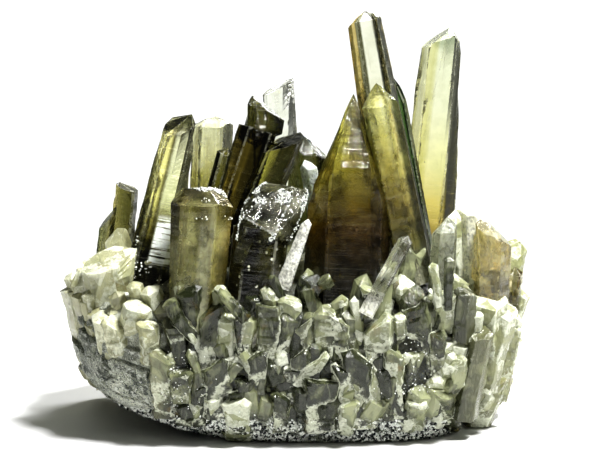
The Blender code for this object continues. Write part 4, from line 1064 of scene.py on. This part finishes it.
# %% Finish of the milky columns
def milky_column(name):
    """Half clear grey-green quartz with white broken facets, pale edges and ochre stains.

    tone goes from 0, a dark clear crystal, to 1, a chalky white one, and seam is 1 in a crease
    with another crystal, where a crust of white grains gathers.
    """
    paint = Paint(name)
    place = paint.place()
    tone, edge, rise, seam = paint.attributes("tone", "edge", "rise", "seam")
    cloud = paint.noise(place, 170.0, 3.0, 0.5, distortion=0.4)
    fine = paint.noise(place, 1500.0, 4.0, 0.6)
    veins = paint.noise(paint.place(stretch=(560.0, 560.0, 120.0)), 1.0, 4.0, 0.6, distortion=0.8)
    rust = paint.noise(place, 120.0, 4.0, 0.6)
    tilted = paint.place((0.25, 0.2, 0.0), stretch=(1.0, 1.0, 0.6))
    facet = paint.axis(paint.cells(tilted, 420.0, "Color"), "X")
    across = paint.axis(place, "X")
    left = 1.0 - across.ramp(-0.038, -0.028)
    right = across.ramp(0.036, 0.050)
    crust = (seam * (0.1 + 1.3 * cloud + 1.2 * (fine - 0.5))).ramp(0.34, 0.70)
    chalk = (0.10 * edge + 0.08 * rise.ramp(0.6, 1.0) + 0.72 * tone + 0.06 * (left + right)
             + 0.9 * (cloud - 0.5) + 0.35 * (facet - 0.5) + 0.3 * (fine - 0.5)).ramp(0.56, 0.80)
    dull = chalk.math("MAXIMUM", crust)
    depth = (cloud + 0.6 * (veins - 0.5) + 0.6 * (0.5 - tone) + 0.15 * (facet - 0.5)
             + 0.25 * (1.0 - rise.ramp(0.0, 0.5))).ramp(0.20, 0.72)
    white = paint.blend(facet * 0.5 + 0.5 * fine.ramp(0.35, 0.65), (0.34, 0.36, 0.25), (0.68, 0.70, 0.57))
    base = paint.painted(
        paint.blend(depth, (0.46, 0.49, 0.27), (0.022, 0.028, 0.008)),
        (left * (0.35 + 0.55 * cloud.ramp(0.38, 0.60)), (0.68, 0.67, 0.38)),
        (right * 0.45, (0.42, 0.42, 0.20)),
        (veins.ramp(0.54, 0.70) * 0.4, (0.42, 0.44, 0.30)),
        (rust.ramp(0.60, 0.74) * 0.6, (0.30, 0.20, 0.05)))
    base = paint.painted(base, (dull, white), (left * (1.0 - rust.ramp(0.35, 0.6)) * 0.5, (0.80, 0.79, 0.55)))
    relief = paint.bump(veins * 0.8 + fine * 0.25 + cloud * 0.6 + facet * 0.5, 0.8, 0.0007)
    clear = paint.shader(base, 0.06 + 0.2 * cloud.ramp(0.45, 0.65), Normal=relief, IOR=QUARTZ_IOR,
                         Transmission_Weight=0.5)
    chalky = paint.scattering(base, 0.3 + 0.3 * fine, relief, 0.3)
    paint.surface(paint.node("ShaderNodeMixShader", {}, {0: dull.math("MAXIMUM", 0.2), 1: clear, 2: chalky}))
    return paint


# %% [markdown]
# White crumbs gather in the creases where two crystals meet. Each crystal is the inside of its
# planes, so the distance from a point to it is the greatest of the distances to its planes, and
# a point near to zero from a neighbour is in a crease.

# %% Make the milky columns
SEAM_REACH = 0.8
BEND_CELL, BEND = 5.0, 0.7               # noise that bends the small crystals, in millimetres
FLOOR_CLEARANCE = 0.1


def bounds_of(form):
    """Planes that bound a crystal, with one below its root, and its middle and reach."""
    foot, tip, along, _, _ = axes_of(form)
    points, normals = planes_of(form)
    points = np.concatenate([points, [foot - along * form["root"]]])
    reach = np.linalg.norm(tip - foot) / 2.0 + form["width"]
    return points, np.concatenate([normals, [-along]]), (foot + tip) / 2.0, reach


def seam_of(points, own, others):
    """How near points are to other crystals or the mass: 1 in the crease, 0 from SEAM_REACH on."""
    nearest = np.abs(points[:, 1] - front_surface(points[:, 0], points[:, 2]))
    nearest = np.where(points[:, 1] < 0.0, nearest, 9.0)
    for other, normals, middle, reach in others:
        if np.linalg.norm(middle - own[2]) < reach + own[3] and other is not own[0]:
            depth = np.einsum("pkj,kj->pk", points[:, None] - other[None], normals).max(axis=1)
            nearest = np.minimum(nearest, np.abs(depth))
    return np.clip(1.0 - nearest / SEAM_REACH, 0.0, 1.0)


def add_crowd(name, forms, chance, first_seed, seams=True, others=(), **detail):
    """Join many small crystals into one piece, each with a tone of its own and slightly bent by noise.

    It returns the planes of them all, for the seams of the next crowd.
    """
    shells, numbers = [], {key: [] for key in ("tone", "edge", "rise", "seam")}
    bounds = [bounds_of(form) for form in forms]
    for order, form in enumerate(forms):
        (points, faces), own = crystal_shell(form, seed=first_seed + order, **detail)
        own["tone"] = np.full(len(points), form.get("tone", chance.random()))
        own["seam"] = seam_of(points, bounds[order], [*bounds, *others]) if seams else np.zeros(len(points))
        for key, values in numbers.items():
            values.append(own[key])
        bend = np.stack([noise(points, BEND_CELL, seed) for seed in (20, 21, 22)], -1)
        points = points + BEND * bend * np.clip(own["rise"] + 0.2, 0.0, 1.0)[:, None]
        points[:, 2] = np.maximum(points[:, 2], FLOOR_CLEARANCE)
        shells.append((points, faces))
    numbers = {key: np.concatenate(values) for key, values in numbers.items()}
    add_piece(name, shells, column_finish, numbers, "matrix", "milky_quartz")
    return bounds


def loosened(form, chance):
    """The same crystal with its tip nudged and a slanting break across its point."""
    width = form["width"]
    nudge = np.array([chance.uniform(-0.12, 0.12), 0.0, chance.uniform(-0.25, 0.0)]) * width
    tip = np.array(form["tip"]) + nudge
    slant = (chance.uniform(-0.8, 0.8), -0.6, chance.uniform(0.6, 1.4))
    at = tip - np.array([0.0, 0.0, chance.uniform(0.05, 0.4) * width])
    return {**form, "tip": tip, "breaks": ((at, slant),), "taper": chance.uniform(0.75, 1.0)}


column_finish = milky_column("milky_column")
pick = random.Random(11)
kinds = (front_columns, shoulder_crystals, fan_crystals, crown_crystals)
forms = [form for kind in kinds for form in kind(pick)]
print(len(forms), "columns")
forms = [loosened(form, pick) for form in forms]
column_bounds = add_crowd("milky_columns", forms, pick, 100, rows=23, face_columns=4, head_rows=5, bevel=0.12,
                          relief=0.08)


# %% [markdown]
# Some crystals on the front stand out by their tone: chalk-white broken chunks next to smooth
# dark ones. They are placed one by one, each a little prouder than its neighbours, and most of
# them end in a slanting break instead of a point.

# %% Chunks on the front, one by one
# Chunks: x and height of the foot, x and height of the top, width, tone
FRONT_CHUNKS = (
    (-21.2, 15.5, -19.2, 35.5, 6.3, 0.3), (-12.7, 31.5, -18.3, 38.8, 3.4, 0.95),
    (-12.2, 22.8, -12.9, 33.4, 4.5, 0.1), (-6.0, 20.4, -6.4, 37.0, 7.4, 0.5),
    (-19.0, 8.8, -19.2, 23.0, 9.4, 0.22), (-13.8, 2.4, -14.0, 13.0, 8.4, 0.92),
    (-9.3, 12.0, -8.7, 24.2, 6.5, 0.12), (-3.7, 4.5, -3.0, 13.6, 5.0, 0.08),
    (-1.3, 28.1, -2.0, 36.7, 5.3, 0.75), (9.4, 23.8, 8.9, 35.5, 11.0, 0.6),
    (17.3, 32.9, 17.0, 38.5, 3.9, 0.85), (19.2, 24.1, 18.9, 32.6, 9.5, 0.82),
    (24.3, 27.4, 24.6, 31.8, 2.6, 1.0), (14.7, 7.2, 15.0, 24.2, 8.6, 0.1),
    (5.2, 5.6, 5.2, 19.0, 10.0, 0.15), (-20.8, 22.6, -30.8, 35.4, 3.8, 0.22),
    (1.0, 16.6, 6.8, 24.2, 5.8, 0.85), (23.4, 8.0, 22.7, 24.5, 5.5, 0.55),
    (28.9, 4.2, 28.3, 11.4, 4.8, 0.72), (31.8, 9.5, 27.6, 35.5, 6.3, 0.2),
    (35.3, 28.5, 35.2, 37.5, 6.4, 0.8), (43.0, 16.9, 42.1, 32.7, 4.0, 0.9),
    (45.6, 22.6, 45.4, 36.4, 10.8, 0.8), (39.8, 9.9, 37.3, 21.3, 5.3, 0.75),
    (49.6, 8.6, 53.1, 27.7, 6.1, 0.62), (45.4, 1.2, 49.6, 14.3, 7.7, 0.45),
    (11.9, 3.9, 12.7, 11.5, 4.7, 0.75), (0.1, 12.5, 1.0, 24.2, 5.8, 0.35),
    (-31.0, 8.1, -31.7, 23.9, 7.4, 0.35), (-34.1, 21.3, -34.6, 31.1, 5.3, 0.55),
    (-38.2, 27.7, -37.2, 35.0, 7.4, 0.92), (-26.8, 6.0, -27.0, 19.2, 5.8, 0.45),
    (33.9, 18.6, 32.9, 28.7, 5.3, 0.4), (1.0, 25.8, 2.4, 32.0, 5.3, 0.55),
    (8.0, 36.3, 6.1, 41.0, 4.2, 0.45), (37.8, 2.5, 34.1, 13.5, 5.3, 0.3),
    (-41.8, 23.2, -43.9, 31.0, 6.4, 0.8),
)
CHUNK_PROUD = 3.8
CHUNK_BREADTH, CHUNK_DEPTH = 1.12, 0.75
FURTHEST_FORWARD = -31.5
SHOULDER_HEIGHT = 31.0


def front_chunks(chance):
    """Chunks whose faces stand proud of the front, with a break that slants across the top."""
    for foot_x, low, top_x, high, width, tone in FRONT_CHUNKS:
        broad, deep = CHUNK_BREADTH * width, CHUNK_DEPTH * width
        foot_y = front_surface(foot_x, low) + FACE_REACH * deep + 0.4
        top_y = front_surface(top_x, min(high, SHOULDER_HEIGHT)) + FACE_REACH * deep - CHUNK_PROUD
        slant = (chance.uniform(-0.9, 0.9), -0.5, 1.0)
        yield {"tone": tone, **crystal(
            (foot_x, foot_y, low), (top_x, max(top_y, FURTHEST_FORWARD), high + 1.0), broad, deep,
            taper=chance.uniform(0.8, 1.0), turn=chance.uniform(-14.0, 14.0), head=chance.uniform(0.4, 1.0),
            breaks=(((top_x, top_y, high - 0.2 * width), slant),), root=1.0)}


pick = random.Random(31)
add_crowd("front_chunks", list(front_chunks(pick)), pick, 900, others=column_bounds, rows=30, face_columns=6,
          head_rows=7, bevel=0.12, relief=0.10)


# %% [markdown]
# The columns alone would look like a fence. In the real piece the gaps between them are full of
# smaller crystals that lean every way and never got room to grow. A few hundred light ones,
# with about a hundred faces each, are scattered over the front, the top and the back, and each
# stands a little less proud than the columns do.

# %% Crystals that fill the gaps
FRONT_COUNT, LEFT_COUNT, TOP_COUNT, ROUND_COUNT = 130, 16, 90, 320


def gap_crystals(chance):
    """Small crystals on the front face, the left shoulder, the top, and round the sides and back."""
    for _ in range(FRONT_COUNT):
        x, height = chance.uniform(-30.0, 50.0), chance.uniform(11.0, 42.0)
        width, length = chance.uniform(2.6, 7.5), chance.uniform(6.0, 14.0)
        foot_x = x - (chance.gauss(0.0, 0.28) + 0.006 * x) * length
        low = max(6.5, height - length)
        proud = chance.uniform(0.0, 1.5)
        foot = (foot_x, front_surface(foot_x, low) + FACE_REACH * width, low)
        nearest = front_surface(x, max(low, min(height, WAIST + 6.0)))
        tip = (x, nearest + FACE_REACH * width - proud, height)
        yield grown(chance, foot, tip, width, (0.3, 1.4), depth=(0.8, 1.2), taper=(0.7, 1.05), sway=0.2)
    for _ in range(LEFT_COUNT):
        x, height = chance.uniform(-55.0, -28.0), chance.uniform(28.0, 42.0)
        width = chance.uniform(4.0, 9.0)
        y = front_surface(x, SHOULDER_HEIGHT) + FACE_REACH * width
        yield grown(chance, (x + 3.0, y + 4.0, height - 12.0), (x, y, height), width, (0.4, 1.0), taper=0.85)
    for _ in range(TOP_COUNT):
        angle, share = chance.uniform(0.0, 2.0 * math.pi), math.sqrt(chance.uniform(0.05, 1.0))
        x, y = 47.0 * share * math.cos(angle), 3.0 + 26.0 * share * math.sin(angle)
        width = chance.uniform(3.0, 6.5)
        top = 43.5 - 5.0 * share ** 4 + chance.uniform(-1.5, 6.0)
        tip = (x + chance.uniform(-2.5, 2.5) + 0.06 * x, y + chance.uniform(-2.5, 2.5) + 0.06 * y, top)
        yield grown(chance, (x, y, 33.0), tip, width, (1.2, 2.2), taper=(0.7, 1.0))
    for _ in range(ROUND_COUNT):
        angle, height = math.radians(chance.uniform(-14.0, 176.0)), chance.uniform(10.0, 40.0)
        size = chance.uniform(2.5, 8.0)
        stray = np.array([chance.uniform(-0.4, 0.4), chance.uniform(-0.2, 0.2), chance.uniform(0.4, 2.2)])
        aim = unit(bearing(angle) + stray)
        tip = oval(height, np.array(angle)) + bearing(angle) * chance.uniform(0.2, 2.6)
        yield grown(chance, tip - aim * size * 1.3, tip, size, (0.4, 1.3), taper=(0.75, 1.0))


pick = random.Random(23)
forms = [form for form in gap_crystals(pick) if form["foot"][2] > 2.0]
add_crowd("gap_crystals", forms, pick, 400, seams=False, rows=6, face_columns=1, head_rows=2, bevel=0.15,
          relief=0.0, pinch=2.5)


# %% [markdown]
# ## Sugar-fine grains
#
# Where the mass was broken it crumbled into grains the size of sugar, and a crust of them sits
# on the blunt tops of the two stubby crystals. A grain is a bent little double pyramid with six
# points and eight faces, so thousands of them stay light. Each gets its own size and turn.

# %% Grains
GRAIN_CORNERS = np.array([(1, 0, 0), (0, 1, 0), (-1, 0, 0), (0, -1, 0), (0, 0, 1), (0, 0, -1)], float)
GRAIN_FACES = np.array([(0, 1, 4), (1, 2, 4), (2, 3, 4), (3, 0, 4),
                        (1, 0, 5), (2, 1, 5), (3, 2, 5), (0, 3, 5)])


def grains(centres, size, chance):
    """Points and faces of a little double pyramid round each centre, each turned its own way."""
    count = len(centres)
    spread = chance.normal(size=(count, 4))
    w, x, y, z = (spread / np.linalg.norm(spread, axis=1, keepdims=True)).T
    turn = np.stack([
        np.stack([1 - 2 * (y * y + z * z), 2 * (x * y - w * z), 2 * (x * z + w * y)], -1),
        np.stack([2 * (x * y + w * z), 1 - 2 * (x * x + z * z), 2 * (y * z - w * x)], -1),
        np.stack([2 * (x * z - w * y), 2 * (y * z + w * x), 1 - 2 * (x * x + y * y)], -1)], -2)
    reach = size * chance.uniform(0.45, 1.0, (count, 1, 1)) * chance.uniform(0.6, 1.1, (count, 6, 1))
    points = np.einsum("nij,nkj->nki", turn, GRAIN_CORNERS[None] * reach) + centres[:, None]
    faces = (GRAIN_FACES[None] + 6 * np.arange(count)[:, None, None]).reshape(-1, 3)
    return points.reshape(-1, 3), faces.tolist()


def sugar(name):
    """White to grey grains that glint."""
    paint = Paint(name)
    tone, = paint.attributes("tone")
    base = paint.blend(tone.ramp(0.34, 0.46), (0.025, 0.03, 0.03), (0.92, 0.94, 0.88))
    paint.surface(paint.shader(base, 0.12 + 0.3 * tone, IOR=QUARTZ_IOR))
    return paint


def add_grains(name, places, size, node, slot, tones=(0.0, 1.0)):
    """Set a grain at each place, with a tone between the two given, as one piece."""
    points, faces = grains(places, size, chance)
    points[:, 2] = np.maximum(points[:, 2], 0.02)
    tone = np.repeat(chance.uniform(*tones, len(places)), 6)
    add_piece(name, [(points, faces)], sugar_white, {"tone": tone}, node, slot)


BROKEN_TOP, BROKEN_BACK = 8.0, 14.0      # the broken underside shows below and in front of these
GRAIN_SHARE = 0.42                       # of the skin's points, where the grains lie thickest
sugar_white = sugar("sugar_white")
chance = np.random.default_rng(7)
skin = mass_grid(rows=420, columns=900).reshape(-1, 3)
low_skin = skin[(skin[:, 2] > 0.3) & (skin[:, 2] < BROKEN_TOP) & (skin[:, 1] < BROKEN_BACK)]
keep = chance.random(len(low_skin)) < GRAIN_SHARE * np.clip(1.3 - low_skin[:, 2] / 6.5, 0.0, 1.0)
places = low_skin[keep] + chance.normal(0.0, 0.2, (keep.sum(), 3)) + np.array([0.0, -0.4, 0.3])
add_grains("broken_base_grains", places, 0.55, "matrix", "milky_quartz")

# %% [markdown]
# Crumbs of white quartz lie where the crystals broke: at the feet of the columns and in the
# creases between them. They are the same grains, in clumps.

# %% Crumbs on the front face
CLUMP_EDGE, CRUMB_SHARE = 0.45, 0.05
front = skin[(skin[:, 1] < -18.0) & (skin[:, 2] > 4.5) & (skin[:, 2] < 40.0) & (skin[:, 0] > -34.0)]
clump = noise(front, 7.0, 31) + 0.5 * noise(front, 2.5, 32)
front = front[(clump > CLUMP_EDGE) & (chance.random(len(front)) < CRUMB_SHARE)]
places = front + np.array([0.0, -1.0, 0.0]) + chance.normal(0.0, 0.6, front.shape)
add_grains("front_crumbs", places, 0.32, "matrix", "milky_quartz", (0.2, 0.9))


# %% [markdown]
# The two stubby crystals in front wear a crust of the finest grains on their blunt ends and
# down one ridge, and little grains painted white stand in for the glints at the foot of the
# honey prism.

# %% Crusts on the large crystals
def crust(name, piece, count, size, low, high, least_edge=0.0, clumps=0.0, tones=(0.1, 1.0)):
    """A crust of grains, in clumps, on a large crystal between two shares of its height."""
    node, form, _ = LARGE[piece]
    grid, _, _, edge, rise, _ = crystal_grid(form, rows=150, face_columns=40, head_rows=50)
    places = grid[(rise > low) & (rise < high) & (edge >= least_edge)]
    places = places[noise(places, 3.0, 41) > clumps]
    places = places[chance.integers(0, len(places), count)]
    add_grains(name, places + chance.normal(0.0, 0.15, places.shape), size, node, node, tones)


crust("stubby_prism_crust", "stubby_prism", 900, 0.3, 0.80, 1.0, clumps=0.25)
crust("druzy_head_crust", "druzy_head", 2600, 0.28, 0.50, 1.0, clumps=0.15)
crust("druzy_head_ridge", "druzy_head", 700, 0.32, -0.2, 1.0, least_edge=1.0, clumps=-0.1)
# Painted highlights: white grains at the honey prism's foot stand for its glints.
crust("honey_prism_glints", "honey_prism", 260, 0.42, -0.05, 0.30, clumps=0.1, tones=(0.6, 1.0))
crust("dark_head_rim", "dark_head", 30, 0.2, -0.1, 1.0, least_edge=1.0, clumps=0.1, tones=(0.5, 1.0))
